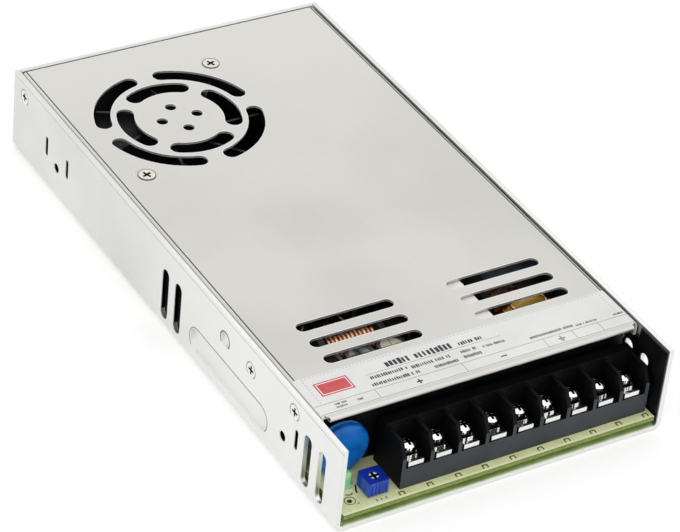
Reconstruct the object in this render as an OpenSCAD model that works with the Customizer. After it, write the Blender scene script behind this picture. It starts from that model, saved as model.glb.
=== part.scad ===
// Enclosed switching power supply: a folded sheet-metal case with a slotted top cover,
// a built-in cooling fan, one circuit board and a nine-way barrier terminal block.
// Millimetres, +Z up, +Y towards the rear, terminals at the front (-Y).
// The origin is under the middle of the case, on the surface it stands on.

/* [Case] */
// Width of the case over the side walls
case_w = 115; // [112:1:140]
// Length of the case from the terminal end to the rear
case_l = 215; // [208:1:260]
// Height of the side walls
case_h = 30; // [29.5:0.5:40]
// Thickness of the sheet the tray is folded from
sheet_t = 1.5; // [1:0.1:2]
// Outer radius of the folds along the bottom edges
fold_r = 2.4; // [2.2:0.1:4]
// Gap between the rear wall and each side wall
corner_gap = 0.4; // [0.2:0.1:1]

/* [Side walls] */
// Width of the tall vent slots
side_slot_w = 4.2; // [3:0.1:6]
// Height of the upper end of the vent slots
side_slot_top = 21.6; // [17:0.1:24]
// Height of the lower end of the vent slots
side_slot_foot = 3.2; // [2.6:0.1:6]
// Distance from the front end to the first slot
side_slot_front = 10.5; // [8:0.1:12]
// Spacing of the two slots in a pair
side_slot_pitch = 8.2; // [7:0.1:10]
// Distance from the front slot pair to the middle pair
side_slot_pair_gap = 87.8; // [70:0.1:95]
// Width of the narrow slits
slit_w = 1.8; // [0.8:0.1:2]
// Height of the narrow slits
slit_h = 7.2; // [5:0.1:9]
// Height of the middle of the narrow slits
slit_z = 15.6; // [13:0.1:17]
// Distance of each narrow slit from its mounting hole along the wall
slit_offset = 7.4; // [6.2:0.1:8]
// Length of the pressed ledge in each side wall
ledge_l = 47.4; // [30:0.1:60]
// Height of the pressed ledge
ledge_h = 8.2; // [5:0.1:8.6]
// Height of the middle of the pressed ledge
ledge_z = 8.8; // [7.2:0.1:9.4]
// Depth that the ledge is pressed inwards
ledge_depth = 1; // [0.4:0.1:1.2]
// Distance of the middle of the ledge from the front end
ledge_from_front = 65.6; // [55:0.1:70]
// Diameter of the small pressed dimple
dimple_d = 4.6; // [3:0.1:4.8]
// Distance of the dimple from the front end
dimple_from_front = 68.9; // [62:0.1:72]
// Depth that the dimple is pressed in
dimple_depth = 0.9; // [0.3:0.1:1.2]

/* [Mounting] */
// Spacing of the mounting holes along the case, on the sides and underneath
mount_pitch_l = 150; // [110:1:160]
// Spacing of the mounting holes across the bottom
mount_pitch_w = 50; // [40:1:80]
// Core diameter of the tapped M4 mounting holes
mount_d = 3.3; // [3:0.1:5]
// Height of the side mounting holes
mount_z = 11.5; // [8:0.5:12]
// Height of the drawn collar inside each mounting hole
collar_h = 1.2; // [0.5:0.1:1.5]
// Wall of the drawn collar
collar_t = 0.9; // [0.6:0.1:1.5]

/* [Cover] */
// Thickness of the cover sheet
cover_t = 0.8; // [0.6:0.1:1.2]
// Distance from the front end of the case to the cover
cover_setback = 14.6; // [13:0.1:18]
// Gap between the cover flanges and the side walls
cover_gap = 0.5; // [0.2:0.05:0.9]
// Depth of the cover top below the top of the side walls
cover_drop = 0.2; // [0:0.1:0.5]
// Outer radius of the cover folds
cover_r = 1.2; // [1:0.1:2.5]
// Length of the hem that is folded back under the front edge of the cover
hem_l = 4; // [3:0.5:8]
// Depth of the cover flanges
flange_h = 4.5; // [3.5:0.5:5]
// Depth of the screw tabs below the cover top
tab_h = 9.2; // [8.5:0.1:10]
// Width of the screw tabs
tab_w = 12; // [9:0.5:14]
// Length of the notch at each front corner of the cover
relief_l = 1.6; // [1:0.1:3]
// Width of the notch at each front corner of the cover
relief_w = 2.3; // [2:0.1:3]
// Distance of the front cover screws from the front end
cover_screw_front = 27.4; // [25:0.1:28]
// Distance of the rear cover screws from the rear end
cover_screw_rear = 7.8; // [7:0.1:9]
// Depth of the cover screws below the top of the walls
cover_screw_drop = 5.8; // [5:0.1:6]

/* [Cover vents] */
// Number of vent slots in each group
vent_rows = 3; // [1:1:4]
// Width of the vent slots
vent_w = 4.2; // [3:0.1:5]
// Spacing of the vent slots
vent_pitch = 8.2; // [6:0.1:10]
// Distance from the front end to the front vent slot
vent_front = 39; // [37:0.5:45]
// Length of the left vent slots
vent_left_l = 33.7; // [25:0.1:38]
// Middle of the left vent slots, left of centre
vent_left_x = 24.5; // [22:0.5:27]
// Length of the right vent slots
vent_right_l = 33.3; // [25:0.1:36]
// Middle of the right vent slots, right of centre
vent_right_x = 28.3; // [25:0.1:30]
// Thickness of the pale baffle sheet under the cover
baffle_t = 0.5; // [0.3:0.1:1]
// Right edge of the baffle sheet, right of centre
baffle_edge = 17.8; // [14:0.1:22]
// Width of the baffle sheet
baffle_w = 16; // [8:0.5:20]
// Thickness of the two foam strips that hold the baffle off the cover
baffle_strip_t = 0.6; // [0.3:0.1:1.5]

/* [Fan] */
// Outer size of the square fan frame
fan_size = 60; // [50:1:62]
// Thickness of the fan
fan_t = 15; // [12:0.5:16]
// Spacing of the fan screw holes
fan_hole_pitch = 50; // [40:0.5:52]
// Diameter of the fan screw holes in the frame
fan_hole_d = 4.3; // [3.5:0.1:4.5]
// Middle of the fan, left of centre
fan_x = 20; // [16:0.5:24]
// Distance from the rear end to the middle of the fan
fan_from_rear = 45.5; // [36:0.5:60]
// Number of fan blades
blade_count = 7; // [5:1:9]
// Diameter of the fan hub
hub_d = 27; // [22:0.5:30]
// Thickness of a fan blade
blade_t = 0.9; // [0.6:0.1:1.5]
// Running gap between the blade tips and the duct
tip_gap = 1; // [0.6:0.1:2]
// Diameter of the fan shaft
shaft_d = 3; // [2:0.1:4]
// Running gap between the shaft and its bearing, on the radius
shaft_gap = 0.05; // [0.02:0.01:0.1]

/* [Fan grille] */
// Outer diameter of the outer ring of slots
ring_outer_d = 56; // [46:0.5:57]
// Width of the outer ring slots
ring_outer_w = 5.5; // [4:0.1:6]
// Outer diameter of the inner ring of slots
ring_inner_d = 41.2; // [35:0.1:42]
// Width of the inner ring slots
ring_inner_w = 5.8; // [4:0.1:6.5]
// Angle of the bridge between two slots of a ring
bridge_angle = 14; // [10:1:20]
// Diameter of the small round holes
pinhole_d = 3.8; // [2:0.1:4.5]
// Distance of the small round holes from the middle of the grille
pinhole_r = 6.4; // [5:0.1:8]

/* [Circuit board] */
// Thickness of the circuit board
pcb_t = 1.6; // [1.2:0.1:2]
// Height of the standoffs under the circuit board
standoff_h = 2.1; // [1.8:0.1:4]
// Gap between the circuit board and the pressed ledges
pcb_gap = 0.1; // [0.05:0.05:1]
// Thickness of the insulating films
film_t = 0.4; // [0.2:0.1:0.5]
// Lowest edge of the black film behind the middle slots of the left wall
left_film_z = 6.4; // [5:0.1:12]

/* [Terminal block] */
// Number of terminals
ways = 9; // [3:1:9]
// Spacing of the terminals
way_pitch = 9.6; // [9:0.1:10]
// Thickness of the barriers between the terminals
barrier_t = 1.2; // [1:0.1:2.5]
// Left end of the terminal block, left of centre
block_left = 34.1; // [30:0.1:36]
// Distance from the front end of the case to the face of the block
block_front = 3.5; // [2:0.1:6]
// Depth of the terminal block from front to rear
block_depth = 15; // [14:0.5:18]
// Height of the terminal floor above the circuit board
sill_h = 7.2; // [6:0.1:9]
// Height of the vertical front edge of the barriers above the board
barrier_nose_h = 10.8; // [9:0.1:12]
// Full height of the barriers above the board
barrier_h = 16; // [14:0.1:18]
// Length of the slanted front edge of the barriers, front to rear
barrier_slope = 2.6; // [1:0.1:5]
// Thickness of the rear wall of the block
block_rear_t = 4.5; // [3:0.1:6]
// Distance of each terminal left of the middle of its bay
way_offset = 0.5; // [0:0.1:1]
// Thickness of the terminal plates
plate_t = 1; // [0.6:0.1:1.5]
// Width of the terminal plates
plate_w = 5.2; // [4.6:0.1:7]
// Height of the upright front lip of the terminal plates
plate_lip_h = 1.9; // [1.2:0.1:3]
// Size of the square clamp washers
washer_w = 5.4; // [5:0.1:6.8]
// Thickness of the clamp washers
washer_t = 0.8; // [0.5:0.1:1.2]
// Diameter of the terminal screw heads
term_head_d = 5.2; // [4.6:0.1:6.4]
// Height of the terminal screw heads
term_head_h = 2.1; // [1.8:0.1:3]
// Diameter of the terminal screw shanks
term_shank_d = 3; // [2.5:0.1:3.8]
// Distance that the terminal screws are backed out
term_lift = 1.2; // [0:0.1:1.5]

/* [Front corner parts] */
// Size of the square output trimmer
trimmer_w = 7; // [5:0.1:8]
// Height of the trimmer body
trimmer_h = 5.2; // [4:0.1:7]
// Height of the feet under the trimmer body
trimmer_foot_h = 0.5; // [0.3:0.1:0.8]
// Middle of the trimmer, left of centre
trimmer_x = 41.2; // [38.2:0.1:42]
// Distance from the front end to the middle of the trimmer
trimmer_from_front = 7.3; // [6:0.1:9]
// Diameter of the trimmer adjuster
adjuster_d = 3.7; // [3:0.1:4.5]
// Diameter of the status lamp
lamp_d = 3; // [2:0.1:5]
// Middle of the status lamp, left of centre
lamp_x = 47.4; // [47:0.1:50]
// Distance from the front end to the status lamp
lamp_from_front = 11.8; // [11:0.1:12]
// Diameter of the blue disc
disc_d = 17.4; // [12:0.1:18]
// Thickness of the blue disc
disc_t = 4.2; // [3:0.1:5]
// Middle of the blue disc, left of centre
disc_x = 46.4; // [44.6:0.1:47]
// Distance from the front end to the face of the blue disc
disc_from_front = 15.8; // [15:0.1:17]
// Gap between the blue disc and the circuit board
disc_lift = 0.8; // [0.4:0.1:1.5]
// Distance between the two leads of the blue disc
disc_lead_pitch = 7.5; // [5:0.5:10]

/* [Power parts] */
// Thickness of the aluminium heatsink bars
bar_t = 4.5; // [3:0.1:6]
// Length of the right heatsink bar
bar_l = 90; // [60:1:95]
// Length of the left heatsink bar, which ends before the middle slots
left_bar_l = 57; // [50:1:58]
// Distance from the front end to the heatsink bars
bar_from_front = 36; // [34:0.5:40]
// Distance from the front end to the heatsink screws
bar_screw_from_front = 53; // [46:0.5:54]
// Height of the heatsink screws
bar_screw_z = 21.2; // [20:0.1:21.5]
// Number of power transistors on the left bar
left_transistors = 3; // [1:1:3]
// Number of power transistors on the right bar
right_transistors = 2; // [1:1:2]
// Outer diameter of the drum choke
drum_d = 17.6; // [15:0.1:17.6]
// Length of the drum choke
drum_l = 23; // [18:0.5:26]
// Diameter of the copper wire on the drum choke
drum_wire_d = 1.3; // [0.8:0.1:1.6]
// Middle radius of the boost choke ring
ring_choke_r = 8.6; // [8:0.1:10]
// Radius of the round section of the boost choke core
ring_choke_core_r = 3.6; // [3:0.1:4]
// Diameter of the copper wire on the boost choke
ring_choke_wire_d = 1.2; // [0.8:0.1:1.4]
// Number of turns on the boost choke
ring_choke_turns = 18; // [6:1:20]
// Diameter of the large storage capacitor
bulk_d = 20; // [16:0.5:20]
// Length of the large storage capacitor
bulk_l = 42; // [30:1:45]
// Diameter of the output capacitors
out_cap_d = 9.6; // [8:0.1:10]
// Height of the output capacitors
out_cap_h = 19.5; // [16:0.5:20]
// Number of output capacitors in a row
out_cap_count = 4; // [1:1:4]
// Length of the fuse
fuse_l = 20; // [15:1:20]
// Diameter of the fuse
fuse_d = 5.2; // [4:0.1:6]

/* [Hidden] */
$fn = 48;

// Small amount by which a cutting shape reaches past what it cuts
over = 1;
// Clearance round a screw shank that only passes through a sheet
shank_gap = 0.1;

// Case
rear_y = case_l / 2;
front_y = -case_l / 2;
wall_in = case_w / 2 - sheet_t;
cover_top = case_h - cover_drop;
cover_under = cover_top - cover_t;
cover_half = wall_in - cover_gap;
cover_front = front_y + cover_setback;
cover_rear = rear_y - sheet_t - cover_gap;
ledge_y = front_y + ledge_from_front;
dimple_y = front_y + dimple_from_front;
side_slots = [for (pair = [0, 1]) for (i = [0, 1])
    front_y + side_slot_front + pair * side_slot_pair_gap + i * side_slot_pitch];
mount_ys = [-mount_pitch_l / 2, mount_pitch_l / 2];
slit_ys = [mount_ys[0] - slit_offset, mount_ys[1] - slit_offset, mount_ys[1] + slit_offset];
// Width of the slanted border of a pressed shape, where the sheet is stretched
press_border = 0.5;

// Screws through the side walls
m3_d = 3;
csk_d = 5.6;
csk_h = 1.3;
side_screw_l = 4.4;
cover_screw_z = case_h - cover_screw_drop;
cover_screw_ys = [front_y + cover_screw_front, rear_y - cover_screw_rear];
bar_screw_y = front_y + bar_screw_from_front;

// Fan
fan_c = [-fan_x, rear_y - fan_from_rear];
fan_top = cover_under;
fan_foot = fan_top - fan_t;
flange_t = 3;
duct_r = fan_size / 2 - 1.4;
base_t = 2;
bearing_r = shaft_d / 2 + 1.5;
cup_top = fan_top - 1.2;
cup_foot = fan_foot + base_t + 0.8;
cup_t = 1.2;
blade_r = duct_r - tip_gap;
fan_screw_d = 3.2;
fan_screw_l = 9;
fan_screw_head_d = 6;
fan_screw_head_h = cover_t + 0.3;
fan_screw_at = [for (s = [-1, 1]) [fan_c.x + s * fan_hole_pitch / 2, fan_c.y + s * fan_hole_pitch / 2]];

// Circuit board
pcb_foot = sheet_t + standoff_h;
pcb_top = pcb_foot + pcb_t;
pcb_half = wall_in - ledge_depth - pcb_gap;
pcb_front = front_y + 0.3;
pcb_rear = rear_y - sheet_t - 1.5;
standoff_at = [
    for (sx = [-1, 1]) [sx * (pcb_half - 5.5), pcb_rear - 6],
    [-pcb_half + 5.5, 26],
    [pcb_half - 5.5, 24],
    [4, front_y + 78]
];
standoff_d = 6;
mark_at = [-50.1, front_y + 5.2];

// Terminal block
block_l = ways * way_pitch + barrier_t;
block_x0 = -block_left;
block_y0 = front_y + block_front;
block_y1 = block_y0 + block_depth;
sill_z = pcb_top + sill_h;
floor_y1 = block_y1 - block_rear_t;
way_x = [for (i = [0:ways - 1]) block_x0 + barrier_t / 2 + (i + 0.5) * way_pitch - way_offset];
term_y = (block_y0 + floor_y1) / 2 + 0.6;
plate_front = block_y0 + 0.4;
plate_rear = floor_y1 - 0.3;
term_head_z = sill_z + plate_t + washer_t + term_lift;
term_shank_l = plate_t + washer_t + term_lift + 3;

// Front corner parts
trimmer_at = [-trimmer_x, front_y + trimmer_from_front];
adjuster_gap = 0.05;
adjuster_sink = 2;
lamp_at = [-lamp_x, front_y + lamp_from_front];
disc_z = pcb_top + disc_lift + disc_d / 2;
disc_y = front_y + disc_from_front;

// Black sheet behind the terminal block
shield_t = 0.5;
shield_y = max(disc_y + disc_t, block_y1) + 0.3;
hem_gap = 0.5;

// Power parts
bar_y0 = front_y + bar_from_front;
bar_y1 = bar_y0 + bar_l;
left_bar_y1 = bar_y0 + left_bar_l;
bar_z0 = max(ledge_z + ledge_h / 2 + press_border, mount_z + mount_d / 2 + collar_t) + 0.4;
bar_z1 = cover_top - flange_h - 0.7;
bar_face = wall_in - bar_t;
transistor_h = 14.5;
transistor_w = 10;
transistor_t = 4.4;
transistor_body_h = 9.5;
tab_t = 1.3;
transistor_z = bar_z0 - 2.4;
transistor_pitch = 14;
drum_at = [-21.9, front_y + 57.5, pcb_top + drum_d / 2];
drum_core_r = drum_d / 2 - 2.1;
drum_turns = floor((drum_l - 5) / (drum_wire_d + 0.1));
ring_choke_at = [-21, front_y + 80.1, pcb_top + 1 + ring_choke_core_r + ring_choke_wire_d];
line_choke_r = 6.6;
line_choke_core_r = 2.6;
line_wire_d = 0.9;
line_choke_at = [37, front_y + 47, pcb_top + line_choke_r + line_choke_core_r + 0.1];
filter_choke_at = [25, front_y + 51.1];
filter_choke_size = [22, 8.2, 16.8];
filter_winding = [2.6, 12.6];
filter_neck = 2.4;
bulk_at = [36, 27, pcb_top + bulk_d / 2];
out_cap_at = [for (row = [0, 1]) for (i = [0:out_cap_count - 1])
    [-39 + i * 11 + row * 2, front_y + 31.6 + row * 11.2]];
transformer_at = [12, -8];
transformer_w = 34;
transformer_l = 30;
transformer_h = 21;
winding_w = 24;
transformer_leg = 6;
bridge_y = bar_screw_y + 17.5;
bridge_w = 20;
first_left_transistor = 6.5;
first_right_transistor = 48;
film_capacitor_at = [28.5, front_y + 59.7];
relay_at = [-9, front_y + 51.5];
control_board_at = [-47, 14];
optocoupler_at = [-40, -12];
thermistor_at = [20, front_y + 27];
fuse_at = [45.5, front_y + 21.5, pcb_top + 5];

// Extrudes a drawing whose axes are [y, z] along X from x0 to x1
module along_x(x0, x1) {
    translate([x0, 0, 0])
        rotate([90, 0, 90])
            linear_extrude(x1 - x0) children();
}

// Extrudes a drawing whose axes are [x, z] along Y from y0 to y1
module along_y(y0, y1) {
    translate([0, y1, 0])
        rotate([90, 0, 0])
            linear_extrude(y1 - y0) children();
}

// Both side walls carry the same cuts: draws the children and their mirror image
module both_sides() {
    children();
    mirror([1, 0, 0]) children();
}

// Straight slot with round ends, long side along the first axis, centred
module slot_shape(length, width) {
    square([length - width, width], center = true);
    for (s = [-1, 1]) translate([s * (length - width) / 2, 0]) circle(d = width);
}

// Rectangle with all four corners rounded, centred
module rounded_square(w, l, r) {
    square([w - 2 * r, l], center = true);
    square([w, l - 2 * r], center = true);
    for (sx = [-1, 1]) for (sy = [-1, 1])
        translate([sx * (w / 2 - r), sy * (l / 2 - r)]) circle(r);
}

// Curved slot with round ends, from angle a0 to a1, tips included
module arc_slot(outer_r, width, a0, a1) {
    mid_r = outer_r - width / 2;
    cap = asin(width / 2 / mid_r);
    reach = 2 * outer_r;
    b0 = a0 + cap;
    b1 = a1 - cap;
    bm = (b0 + b1) / 2;
    intersection() {
        difference() {
            circle(outer_r);
            circle(outer_r - width);
        }
        polygon([[0, 0], reach * [cos(b0), sin(b0)], reach * [cos(bm), sin(bm)], reach * [cos(b1), sin(b1)]]);
    }
    for (b = [b0, b1]) translate(mid_r * [cos(b), sin(b)]) circle(d = width);
}

// ---------- case ----------

// Section of the tray: an open box with round lower corners
module tray_section(w, h, r) {
    translate([-w / 2, r]) square([w, h - r]);
    translate([-w / 2 + r, 0]) square([w - 2 * r, r]);
    for (s = [-1, 1]) translate([s * (w / 2 - r), r]) circle(r);
}

// Rear wall folded up from the bottom, with its fold, drawn as [y, z]
module rear_fold_section() {
    inner_r = fold_r - sheet_t;
    bend = [rear_y - fold_r, fold_r];
    translate([rear_y - sheet_t, fold_r]) square([sheet_t, case_h - fold_r]);
    intersection() {
        difference() {
            translate(bend) circle(fold_r);
            translate(bend) circle(inner_r);
        }
        translate([bend.x, 0]) square(fold_r);
    }
}

module drawn_collar(base, drop) {
    cylinder(d = mount_d + 2 * collar_t, h = base + drop);
}

module chassis() {
    color("gainsboro") difference() {
        union() {
            difference() {
                along_y(front_y, rear_y) difference() {
                    tray_section(case_w, case_h, fold_r);
                    translate([0, sheet_t]) tray_section(2 * wall_in, case_h, fold_r - sheet_t);
                }
                // the bottom ends where the rear wall is folded up
                translate([-wall_in, rear_y - fold_r, -over])
                    cube([2 * wall_in, fold_r + over, fold_r + over]);
            }
            along_x(-wall_in + corner_gap, wall_in - corner_gap) rear_fold_section();
            both_sides() {
                // inner side of the pressed ledge
                along_x(wall_in - ledge_depth, wall_in) translate([ledge_y, ledge_z])
                    slot_shape(ledge_l + 2 * press_border, ledge_h + 2 * press_border);
                along_x(wall_in - dimple_depth, wall_in)
                    translate([dimple_y, bar_screw_z]) circle(d = dimple_d + 2 * press_border);
                // collars drawn inwards round the side mounting holes
                for (y = mount_ys) translate([wall_in - collar_h, y, mount_z])
                    rotate([0, 90, 0]) drawn_collar(sheet_t / 2, collar_h);
            }
            for (x = [-1, 1]) for (y = mount_ys) translate([x * mount_pitch_w / 2, y, sheet_t / 2])
                drawn_collar(sheet_t / 2, collar_h);
        }
        both_sides() side_wall_cuts();
        for (x = [-1, 1]) for (y = mount_ys)
            translate([x * mount_pitch_w / 2, y, -over])
                cylinder(d = mount_d, h = sheet_t + collar_h + 2 * over);
    }
}

// Every cut in the wall on the +X side
module side_wall_cuts() {
    cut_x0 = wall_in - collar_h - over;
    cut_x1 = case_w / 2 + over;
    along_x(wall_in - over / 2, cut_x1) {
        for (y = side_slots) translate([y, (side_slot_top + side_slot_foot) / 2])
            rotate(90) slot_shape(side_slot_top - side_slot_foot, side_slot_w);
        for (y = slit_ys) translate([y, slit_z]) rotate(90) slot_shape(slit_h, slit_w);
    }
    // outer side of the pressed ledge and of the dimple
    along_x(case_w / 2 - ledge_depth, cut_x1)
        translate([ledge_y, ledge_z]) slot_shape(ledge_l, ledge_h);
    along_x(case_w / 2 - dimple_depth, cut_x1) translate([dimple_y, bar_screw_z]) circle(d = dimple_d);
    for (y = mount_ys) translate([cut_x0, y, mount_z])
        rotate([0, 90, 0]) cylinder(d = mount_d, h = cut_x1 - cut_x0);
    for (y = cover_screw_ys) wall_screw_hole(y, cover_screw_z);
    wall_screw_hole(bar_screw_y, bar_screw_z);
}

// Countersunk hole for an M3 screw in the +X wall
module wall_screw_hole(y, z) {
    translate([case_w / 2, y, z]) rotate([0, -90, 0]) {
        translate([0, 0, -over]) cylinder(d = m3_d + 2 * shank_gap, h = sheet_t + 2 * over);
        countersink(csk_d + 2 * shank_gap, m3_d + 2 * shank_gap, csk_h);
    }
}

// Cone that widens to the face at the origin, pointing along +Z, with a short straight lead-out
module countersink(d_top, d_foot, h) {
    cylinder(d1 = d_top, d2 = d_foot, h = h);
    translate([0, 0, -over]) cylinder(d = d_top, h = over);
}

// ---------- cover ----------

// Section of the cover drawn as [x, z]: top, two folds and two flanges
module cover_section(h) {
    difference() {
        translate([0, cover_top]) mirror([0, 1]) tray_section(2 * cover_half, h, cover_r);
        translate([0, cover_under]) mirror([0, 1])
            tray_section(2 * (cover_half - cover_t), h, cover_r - cover_t);
    }
}

// Front edge of the cover drawn as [y, z]: the sheet folded flat back under itself
module hem_section() {
    translate([cover_front + cover_t, cover_under]) circle(cover_t);
    translate([cover_front + cover_t, cover_under - cover_t]) square([hem_l - cover_t, 2 * cover_t]);
}

module fan_grille() {
    for (i = [0:3]) {
        half_bridge = bridge_angle / 2;
        arc_slot(ring_outer_d / 2, ring_outer_w, i * 90 + half_bridge, (i + 1) * 90 - half_bridge);
        arc_slot(ring_inner_d / 2, ring_inner_w, i * 90 - 45 + half_bridge, i * 90 + 45 - half_bridge);
        rotate(i * 90) translate([pinhole_r, 0]) circle(d = pinhole_d);
    }
}

module vent_group(x, length) {
    for (i = [0:vent_rows - 1])
        translate([x, front_y + vent_front + i * vent_pitch]) slot_shape(length, vent_w);
}

module top_cover() {
    color("lightgray") difference() {
        union() {
            along_y(cover_front + relief_l, cover_rear) cover_section(flange_h);
            for (y = cover_screw_ys)
                along_y(max(y - tab_w / 2, cover_front + relief_l), min(y + tab_w / 2, cover_rear))
                    cover_section(tab_h);
            // hemmed front edge between the two corner notches
            along_x(-cover_half + relief_w, cover_half - relief_w) hem_section();
        }
        translate([0, 0, cover_under - over]) linear_extrude(cover_t + 2 * over) {
            translate(fan_c) fan_grille();
            vent_group(-vent_left_x, vent_left_l);
            vent_group(vent_right_x, vent_right_l);
        }
        for (p = fan_screw_at) translate([p.x, p.y, cover_top]) mirror([0, 0, 1]) {
            countersink(fan_screw_head_d + 2 * shank_gap, fan_screw_d + 2 * shank_gap, fan_screw_head_h);
            translate([0, 0, -over]) cylinder(d = fan_screw_d + 2 * shank_gap, h = cover_t + 2 * over);
            translate([0, 0, -over]) cylinder(d = fan_screw_head_d + 2, h = over + 0.2);
        }
        both_sides() for (y = cover_screw_ys)
            translate([cover_half - cover_t - over, y, cover_screw_z])
                rotate([0, 90, 0]) cylinder(d = m3_d + 2 * shank_gap, h = cover_t + 2 * over);
    }
}

// Pale sheet between the two slot groups, held off the cover by a foam strip at each end
module air_baffle() {
    strip_l = 3;
    y0 = front_y + vent_front - vent_pitch;
    y1 = y0 + (vent_rows + 1) * vent_pitch;
    sheet_z = cover_under - baffle_strip_t - baffle_t;
    color("whitesmoke") translate([baffle_edge - baffle_w, 0, 0]) {
        translate([0, y0, sheet_z]) cube([baffle_w, y1 - y0, baffle_t]);
        for (y = [y0, y1 - strip_l]) translate([0, y, sheet_z])
            cube([baffle_w, strip_l, baffle_t + baffle_strip_t]);
    }
}

// ---------- insulation ----------

// Clear part of the film behind a front slot: slanted at the foot, round at the top
module film_window(y) {
    half = side_slot_w / 2;
    translate([y, side_slot_top - half]) circle(half);
    polygon([
        [y - half, side_slot_top - 6.2], [y + half, side_slot_top - 3],
        [y + half, side_slot_top - half], [y - half, side_slot_top - half]
    ]);
}

// Black sheets on the inside of the side walls: the right one is stepped down to pass under the
// cover flange and tab, the left one stands behind the middle slots
module side_insulator() {
    y0 = front_y + 0.6;
    y_tab = cover_screw_ys[0] - tab_w / 2 - 0.4;
    y1 = bar_y0 - 0.5;
    z0 = fold_r + 0.3;
    left_y0 = left_bar_y1 + 0.5;
    left_y1 = side_slots[3] + side_slot_w / 2 + 9;
    left_z1 = cover_top - flange_h - 0.4;
    color([0.08, 0.09, 0.1]) translate([-wall_in, left_y0, left_film_z])
        cube([film_t, left_y1 - left_y0, left_z1 - left_film_z]);
    color([0.08, 0.09, 0.1]) along_x(wall_in - film_t, wall_in) difference() {
        union() {
            translate([y0, z0]) square([cover_front - 0.3 - y0, case_h - 1.2 - z0]);
            translate([y0, z0]) square([y_tab - y0, cover_top - flange_h - 0.4 - z0]);
            translate([y0, z0]) square([y1 - y0, cover_top - tab_h - 0.4 - z0]);
        }
        for (y = [side_slots[0], side_slots[1]]) film_window(y);
        // clears the collar of the front mounting hole
        translate([mount_ys[0], mount_z]) circle(d = mount_d + 2 * collar_t + 0.6);
    }
}

// Black sheet that stands behind the terminal block and the blue disc
module terminal_shield() {
    half = cover_half - cover_t - 0.5;
    color([0.06, 0.06, 0.07]) translate([-half, shield_y, pcb_top])
        cube([2 * half, shield_t, cover_under - hem_gap - pcb_top]);
}

// Green insulating film on the floor of the tray, open round the standoffs and the drawn collars
module board_film() {
    color("green") translate([0, 0, sheet_t]) linear_extrude(film_t) difference() {
        translate([-pcb_half, pcb_front - 0.1]) square([2 * pcb_half, pcb_rear - pcb_front]);
        for (p = standoff_at) translate(p) circle(d = standoff_d + 2);
        for (x = [-1, 1]) for (y = mount_ys)
            translate([x * mount_pitch_w / 2, y]) circle(d = mount_d + 2 * collar_t + 1.2);
    }
}

// Black film on the circuit board under the fan
module fan_film() {
    x0 = -pcb_half + 9;
    y0 = fan_c.y - fan_size / 2 + 2;
    color([0.05, 0.05, 0.06]) translate([x0, y0, pcb_top])
        cube([bulk_at.x - bulk_d / 2 - x0, pcb_rear - 1 - y0, film_t]);
}

// ---------- circuit board ----------

module main_pcb() {
    color("yellowgreen") difference() {
        translate([-pcb_half, pcb_front, pcb_foot]) cube([2 * pcb_half, pcb_rear - pcb_front, pcb_t]);
        for (p = standoff_at) translate([p.x, p.y, pcb_foot - over])
            cylinder(d = m3_d + 2 * shank_gap, h = pcb_t + 2 * over);
        translate([mark_at.x, mark_at.y, pcb_foot - over]) cylinder(d = 1.6, h = pcb_t + 2 * over);
    }
}

module pcb_standoffs() {
    color("silver") for (p = standoff_at) translate([p.x, p.y, sheet_t]) difference() {
        cylinder(d = standoff_d, h = standoff_h, $fn = 6);
        translate([0, 0, -over]) cylinder(d = m3_d - 0.4, h = standoff_h + 2 * over);
    }
}

// Pan head with a cross recess, seated at z = 0 with its shank below
module pan_screw(d, l, head_d, head_h) {
    difference() {
        union() {
            translate([0, 0, -l]) cylinder(d = d, h = l);
            cylinder(d = head_d, h = head_h * 0.6);
            intersection() {
                translate([0, 0, head_h - head_d]) sphere(r = head_d);
                cylinder(d = head_d, h = head_h + over);
            }
        }
        cross_recess(head_d * 0.62, head_d * 0.16, head_h, head_h * 0.65);
    }
}

// Cross recess of the given length and width, cut down from height z by depth
module cross_recess(length, width, z, depth) {
    for (a = [0, 90]) rotate(a) translate([-length / 2, -width / 2, z - depth])
        cube([length, width, depth + over]);
}

module pcb_screws() {
    color("silver") for (p = standoff_at)
        translate([p.x, p.y, pcb_top]) pan_screw(m3_d - 0.6, pcb_t + standoff_h - 0.3, 5, 1.8);
}

// ---------- terminal block ----------

module terminal_block() {
    barrier_top = pcb_top + barrier_h;
    color([0.16, 0.17, 0.19]) difference() {
        union() {
            along_x(block_x0, block_x0 + block_l) polygon([
                [block_y0, pcb_top], [block_y0, sill_z], [floor_y1, sill_z],
                [floor_y1, barrier_top + 0.8], [block_y1 - 1, barrier_top + 0.8],
                [block_y1, barrier_top - 0.2], [block_y1, pcb_top]
            ]);
            for (i = [0:ways]) along_x(block_x0 + i * way_pitch, block_x0 + i * way_pitch + barrier_t)
                polygon([
                    [block_y0, sill_z - over], [block_y0, pcb_top + barrier_nose_h],
                    [block_y0 + barrier_slope, barrier_top], [floor_y1 + over, barrier_top],
                    [floor_y1 + over, sill_z - over]
                ]);
        }
        // blind pockets that the screws run into
        for (x = way_x) translate([x, term_y, sill_z - 5]) cylinder(d = term_shank_d + 0.8, h = 5 + over);
    }
}

// Flat plate with an upright lip at the front
module terminal_plates() {
    color("gainsboro") for (x = way_x) difference() {
        union() {
            translate([x - plate_w / 2, plate_front, sill_z])
                cube([plate_w, plate_rear - plate_front, plate_t]);
            translate([x - plate_w / 2, plate_front, sill_z]) cube([plate_w, plate_t, plate_lip_h]);
        }
        translate([x, term_y, sill_z - over]) cylinder(d = term_shank_d + 0.5, h = plate_t + 2 * over);
    }
}

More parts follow.
